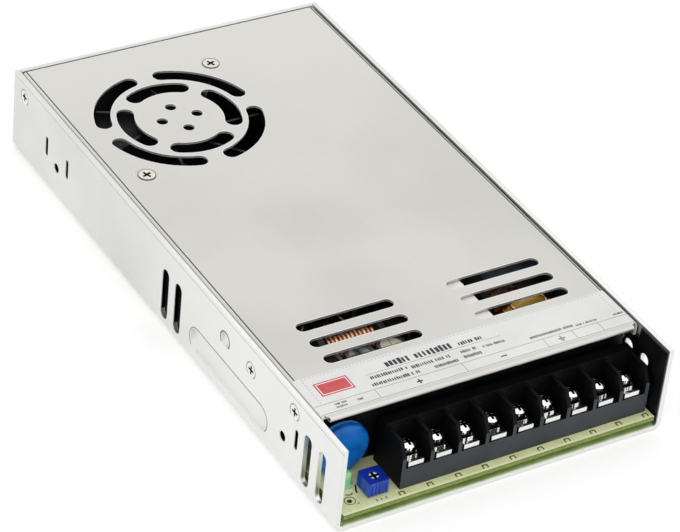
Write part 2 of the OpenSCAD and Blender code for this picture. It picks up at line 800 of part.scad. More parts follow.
// Square washer with its two side edges turned up
module terminal_washers() {
    lip_t = 0.5;
    lip_h = 0.5;
    color("silver") for (x = way_x) translate([x, term_y, sill_z + plate_t]) difference() {
        union() {
            linear_extrude(washer_t) rounded_square(washer_w, washer_w, 0.6);
            for (s = [-1, 1]) translate([s * (washer_w - lip_t) / 2 - lip_t / 2, -washer_w * 0.3, 0])
                cube([lip_t, washer_w * 0.6, washer_t + lip_h - 0.2]);
        }
        translate([0, 0, -over]) cylinder(d = term_shank_d + 0.4, h = washer_t + 2 * over);
        translate([0, 0, washer_t]) cylinder(d = term_head_d + 0.1, h = 2 * over);
    }
}

module terminal_screws() {
    color("silver") for (x = way_x) translate([x, term_y, term_head_z])
        pan_screw(term_shank_d, term_shank_l, term_head_d, term_head_h);
}

// ---------- front corner parts ----------

module trimmer_body() {
    pad = 1.4;
    color("mediumblue") translate([trimmer_at.x, trimmer_at.y, pcb_top]) difference() {
        union() {
            translate([0, 0, trimmer_foot_h]) linear_extrude(trimmer_h - trimmer_foot_h)
                rounded_square(trimmer_w, trimmer_w, 0.5);
            for (sx = [-1, 1]) for (sy = [-1, 1])
                translate([sx * (trimmer_w / 2 - pad) - pad / 2, sy * (trimmer_w / 2 - pad) - pad / 2, 0])
                    cube([pad, pad, 2 * trimmer_foot_h]);
        }
        // round well for the adjuster, with its bearing hole
        translate([0, 0, trimmer_h - adjuster_sink])
            cylinder(d = adjuster_d + 2 * adjuster_gap, h = adjuster_sink + 2 * over);
        translate([0, 0, 1]) cylinder(d = adjuster_d * 0.4 + 2 * adjuster_gap, h = trimmer_h);
        // grooves that leave upright ribs on the front and rear faces
        for (sy = [-1, 1]) for (i = [-2:2])
            translate([i * trimmer_w / 6 - 0.25, sy * trimmer_w / 2 - 0.25, -over])
                cube([0.5, 0.5, trimmer_h]);
    }
}

module trimmer_adjuster() {
    top = pcb_top + trimmer_h - 0.2;
    disc_h = adjuster_sink - 0.4;
    color("white") translate([trimmer_at.x, trimmer_at.y, 0]) difference() {
        union() {
            translate([0, 0, top - disc_h]) cylinder(d = adjuster_d, h = disc_h);
            translate([0, 0, pcb_top + 1.3]) cylinder(d = adjuster_d * 0.4, h = trimmer_h - 2);
        }
        cross_recess(adjuster_d * 0.9, adjuster_d * 0.27, top, disc_h * 0.8);
    }
}

module status_lamp() {
    color("palegreen") translate([lamp_at.x, lamp_at.y, pcb_top]) {
        cylinder(d = lamp_d + 0.8, h = 1);
        cylinder(d = lamp_d, h = 4);
        translate([0, 0, 4]) sphere(d = lamp_d);
    }
}

// Round coated disc standing on edge across the case, with a groove round its rim
// and a skirt of coating that runs down each lead
module blue_disc() {
    edge_r = disc_t * 0.35;
    groove_z = disc_t * 0.62;
    groove = 0.5;
    color("dodgerblue") {
        translate([-disc_x, disc_y, disc_z]) rotate([-90, 0, 0]) rotate_extrude() difference() {
            union() {
                square([disc_d / 2 - edge_r, disc_t]);
                translate([0, edge_r]) square([disc_d / 2, disc_t - 2 * edge_r]);
                for (z = [edge_r, disc_t - edge_r]) translate([disc_d / 2 - edge_r, z]) circle(edge_r);
            }
            translate([disc_d / 2, groove_z])
                polygon([[-groove, 0], [over, -groove - over], [over, groove + over]]);
        }
        for (s = [-1, 1]) translate([-disc_x + s * disc_lead_pitch / 2, disc_y + disc_t / 2, pcb_top])
            rotate(90) rotate_extrude() {
                square([0.45, disc_lift + 1.6]);
                polygon([[0, 0.2], [0.6, 0.2], [1.7, disc_lift + 1.6], [0, disc_lift + 1.6]]);
            }
    }
}

// ---------- fan ----------

module fan_frame() {
    base_r = hub_d / 2 - 0.5;
    color([0.1, 0.1, 0.11]) translate([fan_c.x, fan_c.y, fan_foot]) difference() {
        union() {
            difference() {
                union() {
                    for (z = [0, fan_t - flange_t]) translate([0, 0, z])
                        linear_extrude(flange_t) rounded_square(fan_size, fan_size, 4);
                    cylinder(r = duct_r + 1.3, h = fan_t);
                }
                translate([0, 0, -over]) cylinder(r = duct_r, h = fan_t + 2 * over);
            }
            cylinder(r = base_r, h = base_t);
            cylinder(r = bearing_r, h = cup_top - cup_t - fan_foot - 0.6);
            // struts that carry the motor base
            for (i = [0:3]) rotate(45 + i * 90) translate([base_r - 1, -1.1, 0])
                cube([duct_r - base_r + 1.6, 2.2, base_t]);
        }
        for (sx = [-1, 1]) for (sy = [-1, 1])
            translate([sx * fan_hole_pitch / 2, sy * fan_hole_pitch / 2, -over])
                cylinder(d = fan_hole_d, h = fan_t + 2 * over);
        translate([0, 0, base_t / 2]) cylinder(d = shaft_d + 2 * shaft_gap, h = fan_t);
    }
}

// Slice of a thin tube whose axis lies along the blade, which gives the blade its camber
module fan_blade() {
    span_z0 = cup_foot + 0.3;
    span_z1 = cup_top - 0.3;
    half = (span_z1 - span_z0) / 2;
    camber_r = 1.6 * half * sqrt(2);
    reach = sqrt(camber_r * camber_r - 2 * half * half) / sqrt(2);
    intersection() {
        translate([0, reach, (span_z0 + span_z1) / 2 + reach]) rotate([0, 90, 0]) difference() {
            cylinder(r = camber_r + blade_t / 2, h = blade_r + over);
            translate([0, 0, -over]) cylinder(r = camber_r - blade_t / 2, h = blade_r + 3 * over);
        }
        translate([0, -half - 2, span_z0]) cube([blade_r + over, 2 * half + 4, 2 * half]);
        translate([0, 0, span_z0]) difference() {
            cylinder(r = blade_r, h = 2 * half);
            translate([0, 0, -over]) cylinder(r = hub_d / 2 - cup_t / 2, h = 2 * half + 2 * over);
        }
    }
}

module fan_rotor() {
    color([0.13, 0.13, 0.14]) translate([fan_c.x, fan_c.y, 0]) {
        translate([0, 0, cup_foot]) rotate_extrude() {
            difference() {
                square([hub_d / 2, cup_top - cup_foot]);
                translate([-over, -over])
                    square([hub_d / 2 - 2 * cup_t + over, cup_top - cup_foot - cup_t + over]);
            }
        }
        translate([0, 0, fan_foot + base_t / 2 + 0.4])
            cylinder(d = shaft_d, h = cup_top - fan_foot - base_t / 2 - 1);
        for (i = [0:blade_count - 1]) rotate(i * 360 / blade_count) fan_blade();
    }
}

// Four-pole stator core pressed on the bearing tube
module fan_stator() {
    stator_r = hub_d / 2 - 2 * cup_t - 0.6;
    stator_z = cup_foot + 0.9;
    color("peru") translate([fan_c.x, fan_c.y, stator_z]) linear_extrude(5) difference() {
        union() {
            circle(bearing_r + 1.4);
            for (a = [0, 90]) rotate(a) square([2 * stator_r - 3, 2.6], center = true);
            difference() {
                circle(stator_r);
                circle(stator_r - 1.6);
                for (a = [45, 135]) rotate(a) square([2 * stator_r + 2, 2], center = true);
            }
        }
        circle(bearing_r + 0.05);
    }
}

// Countersunk screw with a cross recess, face at z = 0, pointing along -Z
module csk_screw(d, l, head_d, head_h) {
    difference() {
        union() {
            translate([0, 0, -l]) cylinder(d = d, h = l);
            translate([0, 0, -head_h]) cylinder(d1 = d, d2 = head_d, h = head_h);
        }
        cross_recess(head_d * 0.55, head_d * 0.14, 0, head_h * 0.7);
    }
}

module fan_screws() {
    color("gainsboro") for (p = fan_screw_at) translate([p.x, p.y, cover_top])
        rotate(20) csk_screw(fan_screw_d, fan_screw_l, fan_screw_head_d, fan_screw_head_h);
}

module cover_screws() {
    color("gainsboro") both_sides() for (y = cover_screw_ys)
        translate([case_w / 2 - 0.05, y, cover_screw_z]) rotate([0, 90, 0])
            csk_screw(m3_d, side_screw_l, csk_d, csk_h);
}

module heatsink_screws() {
    color("gainsboro") both_sides() translate([case_w / 2 - 0.05, bar_screw_y, bar_screw_z])
        rotate([0, 90, 0]) csk_screw(m3_d, side_screw_l + 0.8, csk_d, csk_h);
}

// ---------- power parts ----------

// Aluminium bar against the wall on the +X side, with the screw hole and clamp groove
module heatsink_bar(length) {
    difference() {
        translate([bar_face, bar_y0, bar_z0]) cube([bar_t, length, bar_z1 - bar_z0]);
        translate([bar_face - over, bar_screw_y, bar_screw_z]) rotate([0, 90, 0])
            cylinder(d = m3_d + 2 * shank_gap, h = bar_t + 2 * over);
        // socket that the pressed dimple of the wall locates
        translate([wall_in - dimple_depth - 0.1, dimple_y, bar_screw_z]) rotate([0, 90, 0])
            cylinder(d = dimple_d + 2 * press_border + 0.2, h = dimple_depth + over);
        translate([bar_face - over, bar_y0 - over, bar_z1 - 2]) cube([1 + over, length + 2 * over, 0.8]);
    }
}

module left_heatsink() {
    color("silver") mirror([1, 0, 0]) heatsink_bar(left_bar_l);
}

module right_heatsink() {
    color("silver") heatsink_bar(bar_l);
}

// Places the children once per power transistor, standing on the +X bar face
module each_transistor() {
    for (i = [0:left_transistors - 1]) mirror([1, 0, 0])
        translate([bar_face, bar_screw_y + first_left_transistor + i * transistor_pitch, 0]) children();
    for (i = [0:right_transistors - 1])
        translate([bar_face, bar_screw_y + first_right_transistor + i * transistor_pitch, 0]) children();
}

module transistor_bodies() {
    color([0.12, 0.12, 0.13]) each_transistor()
        translate([-transistor_t, -transistor_w / 2, transistor_z])
            cube([transistor_t, transistor_w, transistor_body_h]);
}

// Metal tab above each body and three legs down to the board
module transistor_leads() {
    color("silver") each_transistor() {
        translate([-tab_t, -transistor_w / 2, transistor_z + transistor_body_h]) difference() {
            cube([tab_t, transistor_w, transistor_h - transistor_body_h]);
            translate([-over, transistor_w / 2, 2.6]) rotate([0, 90, 0])
                cylinder(d = 3.4, h = tab_t + 2 * over);
        }
        for (s = [-1:1]) translate([-2.9, s * 2.54 - 0.4, pcb_top]) cube([0.5, 0.8, transistor_z - pcb_top]);
    }
}

module bridge_rectifier() {
    body = [4, bridge_w, 15];
    foot = bar_z0 - 4;
    color([0.12, 0.12, 0.13]) translate([bar_face - body.x, bridge_y, 0]) {
        translate([0, 0, foot]) cube(body);
        for (i = [0:3]) translate([body.x * 0.4, 2 + i * 5, pcb_top]) cube([0.8, 1, foot - pcb_top]);
    }
}

module transformer_core() {
    leg = transformer_leg;
    color([0.22, 0.22, 0.24]) translate([transformer_at.x, transformer_at.y, pcb_top + 2]) {
        difference() {
            translate([-transformer_w / 2, -6, 0]) cube([transformer_w, 12, transformer_h - 2]);
            for (s = [-1, 1]) translate([s * (transformer_w / 2 - leg / 2 - 3) - 3, -7, leg / 2])
                cube([6 - 1, 14, transformer_h - 2 - leg]);
        }
    }
}

// Taped winding on its bobbin, with the core passing through the middle and round the ends
module transformer_winding() {
    play = 0.15;
    leg = transformer_leg;
    color("gold") difference() {
        union() {
            for (s = [-1, 1])
                translate([transformer_at.x - winding_w / 2, transformer_at.y + s * 10.2 - 3.8, pcb_top + 1])
                    cube([winding_w, 7.6, transformer_h - 2]);
            translate([transformer_at.x - winding_w / 2, transformer_at.y - transformer_l / 2, pcb_top])
                cube([winding_w, transformer_l, 1.8]);
        }
        translate([transformer_at.x - transformer_w / 2, transformer_at.y - 6 - play, pcb_top + 2 - play])
            cube([transformer_w, 12 + 2 * play, transformer_h - 2 + leg]);
    }
}

module drum_choke_core() {
    flange = 2;
    color([0.2, 0.2, 0.22]) translate([drum_at.x - drum_l / 2, drum_at.y, drum_at.z]) rotate([0, 90, 0]) {
        cylinder(r = drum_core_r, h = drum_l);
        for (z = [0, drum_l - flange]) translate([0, 0, z]) cylinder(d = drum_d, h = flange);
    }
}

module drum_choke_winding() {
    pitch = drum_wire_d + 0.1;
    color("orangered") for (i = [0:drum_turns - 1])
        translate([drum_at.x + (i - (drum_turns - 1) / 2) * pitch, drum_at.y, drum_at.z])
            rotate([0, 90, 0]) rotate_extrude()
                translate([drum_core_r + drum_wire_d / 2 + 0.05, 0]) circle(d = drum_wire_d);
}

// Turns of wire round a ring core whose axis is Z, over the given span of angle
module ring_turns(ring_r, core_r, wire_d, turns, a0, a1) {
    for (i = [0:turns - 1]) rotate(a0 + (a1 - a0) * (i + 0.5) / turns)
        translate([ring_r, 0, 0]) rotate([90, 0, 0]) rotate_extrude()
            translate([core_r + wire_d / 2 + 0.05, 0]) circle(d = wire_d);
}

module boost_choke_core() {
    color([0.25, 0.3, 0.25]) translate(ring_choke_at) {
        rotate_extrude() translate([ring_choke_r, 0]) circle(ring_choke_core_r);
    }
}

module boost_choke_winding() {
    color("orangered") translate(ring_choke_at)
        ring_turns(ring_choke_r, ring_choke_core_r, ring_choke_wire_d, ring_choke_turns, 10, 350);
}

module line_choke_core() {
    color("goldenrod") translate(line_choke_at) rotate([90, 0, 0])
        rotate_extrude() translate([line_choke_r, 0]) circle(line_choke_core_r);
}

module line_choke_winding() {
    color("orangered") translate(line_choke_at) rotate([90, 0, 0]) for (a = [-60, 120])
        ring_turns(line_choke_r, line_choke_core_r, line_wire_d, 7, a, a + 120);
}

// Moulded bobbin of the filter choke: two blocks joined by a neck that carries the winding
module filter_choke_body() {
    size = filter_choke_size;
    play = 0.2;
    color([0.1, 0.1, 0.11]) translate([filter_choke_at.x, filter_choke_at.y, pcb_top]) {
        cube([filter_winding[0] - play, size.y, size.z]);
        translate([filter_winding[1] + play, 0, 0])
            cube([size.x - filter_winding[1] - play, size.y, size.z]);
        translate([0, (size.y - filter_neck) / 2, filter_neck])
            cube([size.x, filter_neck, size.z - 2 * filter_neck]);
    }
}

// Flat turns of wire side by side round the neck of the filter choke
module filter_choke_winding() {
    size = filter_choke_size;
    turns = 8;
    length = filter_winding[1] - filter_winding[0];
    pitch = length / turns;
    bore = [filter_neck + 0.3, size.z - 2 * filter_neck + 0.6];
    middle = [filter_choke_at.x, filter_choke_at.y + size.y / 2, pcb_top + size.z / 2];
    color("orangered")
        translate(middle + [filter_winding[0], 0, 0])
            rotate([90, 0, 90]) difference() {
                union() {
                    linear_extrude(length) rounded_square(size.y - 1, size.z - 1.6, 1);
                    for (i = [0:turns - 1]) translate([0, 0, i * pitch + 0.1])
                        linear_extrude(pitch - 0.2) rounded_square(size.y, size.z - 0.6, 1.5);
                }
                translate([0, 0, -over]) linear_extrude(length + 2 * over) square(bore, center = true);
            }
}

// Storage capacitor lying along the case
module bulk_capacitor() {
    lip = 0.8;
    color([0.1, 0.1, 0.12]) translate(bulk_at) rotate([-90, 0, 0]) rotate_extrude() {
        square([bulk_d / 2 - lip, bulk_l]);
        translate([0, lip]) square([bulk_d / 2, bulk_l - 5 * lip]);
        translate([0, bulk_l - 2.5 * lip]) square([bulk_d / 2, 2.5 * lip]);
    }
}

module output_capacitor_cans() {
    can_r = out_cap_d / 2 - 0.3;
    color("gainsboro") for (p = out_cap_at) translate([p.x, p.y, pcb_top]) difference() {
        cylinder(r = can_r, h = out_cap_h - 0.2);
        for (a = [0, 90]) rotate(a) translate([-can_r * 0.75, -0.2, out_cap_h - 0.5])
            cube([can_r * 1.5, 0.4, over]);
    }
}

module output_capacitor_sleeves() {
    can_r = out_cap_d / 2 - 0.25;
    color([0.15, 0.1, 0.1]) for (p = out_cap_at) translate([p.x, p.y, pcb_top]) difference() {
        cylinder(d = out_cap_d, h = out_cap_h);
        translate([0, 0, -over]) cylinder(r = can_r, h = out_cap_h + over - 0.1);
        translate([0, 0, -over]) cylinder(r = can_r - 0.9, h = out_cap_h + 3 * over);
    }
}

module film_capacitor() {
    color("slategray") translate([film_capacitor_at.x, film_capacitor_at.y, pcb_top]) cube([21.5, 9.5, 19]);
}

// Small upright control board with its controller chip
module control_board() {
    color("darkgreen") translate([control_board_at.x, control_board_at.y, pcb_top]) {
        cube([30, 1.2, 8]);
        translate([8, -1.6, 3]) cube([9, 1.6, 4]);
    }
}

module optocouplers() {
    color([0.12, 0.12, 0.13]) for (i = [0:2])
        translate([optocoupler_at.x, optocoupler_at.y + i * 8, pcb_top]) {
            translate([0, 0, 0.6]) cube([4.6, 6.5, 3.4]);
            for (x = [0.8, 3.2]) for (y = [0, 6]) translate([x, y, 0]) cube([0.6, 0.5, 2]);
        }
}

module relay() {
    color([0.1, 0.1, 0.11]) translate([relay_at.x, relay_at.y, pcb_top]) cube([12, 20, 17]);
}

module fuse_tube() {
    color("ivory") translate(fuse_at) rotate([-90, 0, 0]) cylinder(d = fuse_d, h = fuse_l);
}

// Two sprung clips that hold the fuse by its ends
module fuse_clips() {
    clip_w = 5;
    color("silver") for (y = [0.3, fuse_l - clip_w - 0.3])
        along_y(fuse_at.y + y, fuse_at.y + y + clip_w) translate([fuse_at.x, 0]) difference() {
            union() {
                translate([0, fuse_at.z]) circle(d = fuse_d + 1.1);
                translate([-2, pcb_top]) square([4, fuse_at.z - pcb_top]);
            }
            translate([0, fuse_at.z]) circle(d = fuse_d + 0.1);
            translate([-fuse_d, fuse_at.z + 1.2]) square([2 * fuse_d, fuse_d]);
        }
}

// Coated disc on two leads
module thermistor() {
    disc = [13, 4.5];
    color([0.12, 0.16, 0.12]) translate([thermistor_at.x, thermistor_at.y, pcb_top]) {
        translate([0, 0, 8.5]) rotate([-90, 0, 0]) cylinder(d = disc[0], h = disc[1]);
        for (s = [-1, 1]) translate([s * 3.75, disc[1] / 2, 0]) cylinder(d = 1, h = 5);
    }
}

chassis();
top_cover();
air_baffle();
side_insulator();
terminal_shield();
board_film();
fan_film();
main_pcb();
pcb_standoffs();
pcb_screws();
terminal_block();
terminal_plates();
terminal_washers();
terminal_screws();
trimmer_body();
trimmer_adjuster();
status_lamp();
blue_disc();
fan_frame();
fan_rotor();
fan_stator();
fan_screws();
cover_screws();
heatsink_screws();
left_heatsink();
right_heatsink();
transistor_bodies();
transistor_leads();
bridge_rectifier();
transformer_core();
transformer_winding();
drum_choke_core();
drum_choke_winding();
boost_choke_core();
boost_choke_winding();
line_choke_core();
line_choke_winding();
filter_choke_body();
filter_choke_winding();
bulk_capacitor();
output_capacitor_cans();
output_capacitor_sleeves();
film_capacitor();
control_board();
optocouplers();
relay();
fuse_tube();
fuse_clips();
thermistor();
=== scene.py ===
"""Finishes, print and studio for an enclosed power supply with slotted cover and terminals.

Metres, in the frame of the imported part: +Z up, +Y to the rear, the terminals at the front (-Y).
"""

import math

import bpy
import numpy as np
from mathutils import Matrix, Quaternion, Vector


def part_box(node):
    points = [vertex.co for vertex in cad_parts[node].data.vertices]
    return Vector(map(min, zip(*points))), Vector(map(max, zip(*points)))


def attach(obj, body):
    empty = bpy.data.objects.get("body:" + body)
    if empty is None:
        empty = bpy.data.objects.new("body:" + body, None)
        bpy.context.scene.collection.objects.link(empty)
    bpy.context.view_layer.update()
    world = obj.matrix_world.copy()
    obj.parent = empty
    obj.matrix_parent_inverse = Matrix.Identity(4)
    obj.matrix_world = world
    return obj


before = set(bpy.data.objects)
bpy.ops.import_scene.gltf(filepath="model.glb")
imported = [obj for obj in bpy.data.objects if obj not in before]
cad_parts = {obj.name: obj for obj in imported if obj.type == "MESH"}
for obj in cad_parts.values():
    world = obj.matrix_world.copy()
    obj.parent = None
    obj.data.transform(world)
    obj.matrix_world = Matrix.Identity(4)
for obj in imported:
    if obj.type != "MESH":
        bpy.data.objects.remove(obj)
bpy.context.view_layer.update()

MM = 0.001
BODY = "case"

# ---------- camera ----------

# A long lens from the front left, looking down, with the camera rolled a little to one side
AZIMUTH, ELEVATION, LEAN = map(math.radians, (-34.125, 35.951, 6.253))
DISTANCE = 927.2 * MM
TARGET = Vector((-1.87, -13.1, 15.0)) * MM
SENSOR, LENS = 36.0, 156.23
NEAREST, FARTHEST = 0.02, 20.0


def towards(azimuth, elevation):
    """Unit vector from the case to a viewer or lamp: azimuth 0 is in front of the terminals."""
    level = math.cos(elevation)
    return Vector((math.sin(azimuth) * level, -math.cos(azimuth) * level, math.sin(elevation)))


back = towards(AZIMUTH, ELEVATION)
camera_data = bpy.data.cameras.new("camera")
camera_data.sensor_width, camera_data.lens = SENSOR, LENS
camera_data.clip_start, camera_data.clip_end = NEAREST, FARTHEST
camera = bpy.data.objects.new("camera", camera_data)
camera.location = TARGET + back * DISTANCE
camera.rotation_mode = "QUATERNION"
camera.rotation_quaternion = (-back).to_track_quat("-Z", "Y") @ Quaternion((0, 0, 1), LEAN)
bpy.context.collection.objects.link(camera)
bpy.context.scene.camera = camera

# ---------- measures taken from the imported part, in millimetres ----------


def box_mm(node):
    """Lowest and highest corner of a CAD node, in millimetres."""
    return [np.array(corner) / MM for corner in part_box(node)]


cover_low, cover_high = box_mm("top_cover")
board_low, board_high = box_mm("main_pcb")
block_low, _ = box_mm("terminal_block")
screws_low, screws_high = box_mm("terminal_screws")
dial_low, dial_high = box_mm("trimmer_adjuster")
_, side_screws_high = box_mm("cover_screws")
fan_screws_low, fan_screws_high = box_mm("fan_screws")
wall_face, _, wall_top = box_mm("chassis")[1]
cover_top = cover_high[2]
cover_front = cover_low[1]
board_top = board_high[2]
dial_middle = (dial_low + dial_high)[:2] / 2

# Fold along each long edge of the cover: its outer radius, and where the flat top ends
FOLD_RADIUS = 1.2
flat_half = cover_high[0] - FOLD_RADIUS

# Number of terminals, and the thickness of the tray's sheet
WAYS = 9
SHEET = 1.5

# Pressings and countersunk screws of the side walls: middles as (y, z), and radii
SIDE_SCREWS = [(-80.1, 24.2), (99.7, 24.2), (-54.5, 21.2)]
SCREW_RADIUS = 2.8
LEDGE, LEDGE_RADIUS, LEDGE_HALF = (-41.9, 8.8), 4.6, 24.2
DIMPLE, DIMPLE_RADIUS = (-38.6, 21.2), 2.8

# Painted shade on the walls of the side slots: heights, reach along the case, and the stretch with
# the pressings
DARK_Z, DARK_Y, PRESSED_Y = (5.5, 22.5), (-84.0, 104.0), (-67.0, -17.0)

# Radius of the screws sunk in the cover, with and without their chamfered rim
COVER_SCREW_RADIUS, COVER_SCREW_FACE = 3.0, 2.7

# ---------- meshes ----------


def piece(name, verts, faces, material, slot, body=BODY):
    """A mesh from corner points in millimetres and lists of corner numbers, riding on a body."""
    mesh = bpy.data.meshes.new(name)
    corners = (np.asarray(verts, float) * MM).tolist()
    mesh.from_pydata(corners, [], [list(map(int, face)) for face in faces])
    mesh.materials.append(material)
    mesh.update()
    obj = bpy.data.objects.new(name, mesh)
    bpy.context.collection.objects.link(obj)
    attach(obj, body)
    return obj


def on_cover(across, y, lift):
    """A point of the cover: `across` is measured over the sheet from its middle.

    Up to flat_half it runs flat. Past that it turns round the fold by the rest of the distance
    divided by FOLD_RADIUS, at a radius of FOLD_RADIUS + lift.
    """
    turn = np.maximum(np.abs(across) - flat_half, 0) / FOLD_RADIUS
    radius = FOLD_RADIUS + lift
    x = np.sign(across) * (np.minimum(np.abs(across), flat_half) + radius * np.sin(turn))
    return np.stack([x, y, cover_top - FOLD_RADIUS + radius * np.cos(turn)], -1)


def on_board(x, y, lift):
    """A point of the flat upper face of the circuit board."""
    return np.stack([x, y, board_top + lift], -1)


def plates(shapes, place, foot, head):
    """Thin closed plates: each row of `shapes` is a convex outline (x, y) turned anticlockwise.

    The outline is laid on a surface at height `foot` and again at `head`, and a ring of quads
    joins the two.
    """
    shapes = np.asarray(shapes, float)
    count, corners = shapes.shape[:2]
    flat = shapes.reshape(-1, 2)
    levels = [place(flat[:, 0], flat[:, 1], np.full(len(flat), h)) for h in (foot, head)]
    verts = np.concatenate(levels)
    lower = np.arange(count * corners).reshape(count, corners)
    upper = lower + count * corners
    nexts = np.roll(np.arange(corners), -1)
    walls = np.stack([lower, lower[:, nexts], upper[:, nexts], upper], -1).reshape(-1, 4)
    return verts, [*lower[:, ::-1].tolist(), *upper.tolist(), *walls.tolist()]


def bars(rows):
    """Rectangles from rows of (x0, y0, x1, y1), as outlines for plates()."""
    x0, y0, x1, y1 = np.asarray(rows, float).T
    return np.stack([np.stack(p, -1) for p in ((x0, y0), (x1, y0), (x1, y1), (x0, y1))], 1)


def rings(centre, outer, inner, steps=24):
    """A ring as outlines for plates(): four-cornered pieces between two circles round a centre."""
    turn = np.arange(steps) * 2 * np.pi / steps
    a, b = turn, np.roll(turn, -1)
    corners = [(inner, a), (outer, a), (outer, b), (inner, b)]
    unit = np.stack([np.stack([r * np.cos(t), r * np.sin(t)], -1) for r, t in corners], 1)
    return unit + np.asarray(centre, float)


def strokes(centre, lines, width):
    """Straight strokes round a centre, each a rectangle about its middle line (x0, y0, x1, y1)."""
    lines = np.asarray(lines, float)
    start, end = lines[:, :2] + centre, lines[:, 2:] + centre
    run = end - start
    run /= np.linalg.norm(run, axis=1)[:, None]
    side = np.column_stack([-run[:, 1], run[:, 0]]) * width / 2
    return np.stack([start - side, end - side, end + side, start + side], 1)


def join(parts):
    """Several (verts, faces) pairs as one."""
    verts, faces, start = [], [], 0
    for v, f in parts:
        verts.append(v)
        faces += [[i + start for i in face] for face in f]
        start += len(v)
    return np.concatenate(verts), faces


# ---------- shading: one function that adds a node, and what is built from it ----------


def linear(code):
    """An sRGB hex colour as linear red, green, blue and alpha."""
    s = np.array([int(code[i : i + 2], 16) for i in (1, 3, 5)]) / 255
    rgb = np.where(s <= 0.04045, s / 12.92, ((s + 0.055) / 1.055) ** 2.4)
    return (*rgb.tolist(), 1.0)


def add(tree, kind, inputs=None, out=0, **settings):
    """Adds a shader node and gives one of its outputs.

    Settings are attributes of the node, and each input is a plain value or an output to link.
    """
    node = tree.nodes.new("ShaderNode" + kind)
    for name, value in settings.items():
        setattr(node, name, value)
    for name, value in (inputs or {}).items():
        if isinstance(value, bpy.types.NodeSocket):
            tree.links.new(value, node.inputs[name])
        else:
            node.inputs[name].default_value = value
    return node.outputs[out]


def finish(name, **sockets):
    """A material with one Principled shader. Socket names are written with _ for a space."""
    mat = bpy.data.materials.new(name)
    mat.use_nodes = True
    shader = mat.node_tree.nodes["Principled BSDF"]
    for socket, value in sockets.items():
        shader.inputs[socket.replace("_", " ")].default_value = value
    return mat, mat.node_tree, shader


def paint(tree, shader, socket, value):
    """Links a value to a socket of the shader."""
    tree.links.new(value, shader.inputs[socket])


def pattern(tree, size, stretch=(1, 1, 1), detail=3.0, seed=0.0):
    """Noise from 0 to 1 with grains `size` mm long, drawn out by `stretch` along each axis."""
    scaled = [1 / (size * MM * s) for s in stretch]
    spot = add(tree, "TexCoord", out="Object")
    place = add(tree, "Mapping", {"Vector": spot, "Scale": scaled, "Location": (seed, seed, seed)})
    return add(tree, "TexNoise", {"Vector": place, "Scale": 1.0, "Detail": detail}, out="Fac")


def shades(tree, factor, *stops):
    """A colour that runs through (position, hex code) stops."""
    ramp = add(tree, "ValToRGB", {"Fac": factor}, out="Color")
    elements = ramp.node.color_ramp.elements
    while len(elements) < len(stops):
        elements.new(0.5)
    for element, (position, code) in zip(elements, stops):
        element.position, element.color = position, linear(code)
    return ramp


def spread(tree, factor, low, high):
    """A factor of 0.3 to 0.7, where noise mostly lies, spread over low to high."""
    inputs = {"Value": factor, "From Min": 0.3, "From Max": 0.7, "To Min": low, "To Max": high}
    return add(tree, "MapRange", inputs, out="Result")


def layers(tree, base, over):
    """Lays colours over a base. Each is a pair of how much of it covers and what colour it is.

    How much is a factor or a function of the tree that gives one. The colour is a hex code or an
    output.
    """
    for cover, colour in over:
        factor = cover(tree) if callable(cover) else cover
        colour = linear(colour) if isinstance(colour, str) else colour
        base = add(tree, "Mix", {"Factor": factor, 6: base, 7: colour}, out=2, data_type="RGBA")
    return base


def relief(tree, shader, height, depth, radius=0.0):
    """Bump of `depth` mm from a height factor, on edges that look rounded by `radius` mm."""
    inputs = {"Height": height, "Distance": depth * MM, "Strength": 1.0}
    if radius:
        inputs["Normal"] = add(tree, "Bevel", {"Radius": radius * MM}, out="Normal", samples=4)
    paint(tree, shader, "Normal", add(tree, "Bump", inputs, out="Normal"))


def edges(tree, radius):
    """1 along sharp edges and 0 elsewhere: how far a normal turned within `radius` mm strays."""
    soft = add(tree, "Bevel", {"Radius": radius * MM}, out="Normal", samples=6)
    hard = add(tree, "NewGeometry", out="Normal")
    same = add(tree, "VectorMath", {0: soft, 1: hard}, out="Value", operation="DOT_PRODUCT")
    inputs = {"Value": same, "From Min": 0.98, "From Max": 0.82, "To Min": 0.0, "To Max": 1.0}
    return add(tree, "MapRange", inputs, out="Result")


# ---------- masks: 1 where a colour lies and 0 elsewhere ----------


def places(tree):
    """The object's own x, y and z at a point, in millimetres."""
    spot = add(tree, "TexCoord", out="Object")
    scaled = add(tree, "VectorMath", {0: spot, "Scale": 1 / MM}, operation="SCALE")
    return add(tree, "SeparateXYZ", {"Vector": scaled}).node.outputs


def above(tree, value, bound):
    """1 where a value is over a bound."""
    return add(tree, "Math", {0: value, 1: bound}, operation="GREATER_THAN")


def below(tree, value, bound):
    """1 where a value is under a bound."""
    return add(tree, "Math", {0: value, 1: bound}, operation="LESS_THAN")


def both(tree, first, second):
    """1 where two masks are both 1."""
    return add(tree, "Math", {0: first, 1: second}, operation="MULTIPLY")


def outside(tree, mask):
    """1 where a mask is 0."""
    return add(tree, "Math", {0: 1.0, 1: mask}, operation="SUBTRACT")


def between(tree, value, low, high):
    """1 where a value lies between two bounds."""
    return both(tree, above(tree, value, low), below(tree, value, high))


def apart(tree, value, middle=0.0):
    """How far a value lies from a middle one, on either side."""
    gap = add(tree, "Math", {0: value, 1: middle}, operation="SUBTRACT")
    return add(tree, "Math", {0: gap}, operation="ABSOLUTE")


def squares(tree, first, second):
    """The sum of two squares."""
    first = add(tree, "Math", {0: first, 1: first}, operation="MULTIPLY")
    second = add(tree, "Math", {0: second, 1: second}, operation="MULTIPLY")
    return add(tree, "Math", {0: first, 1: second}, operation="ADD")


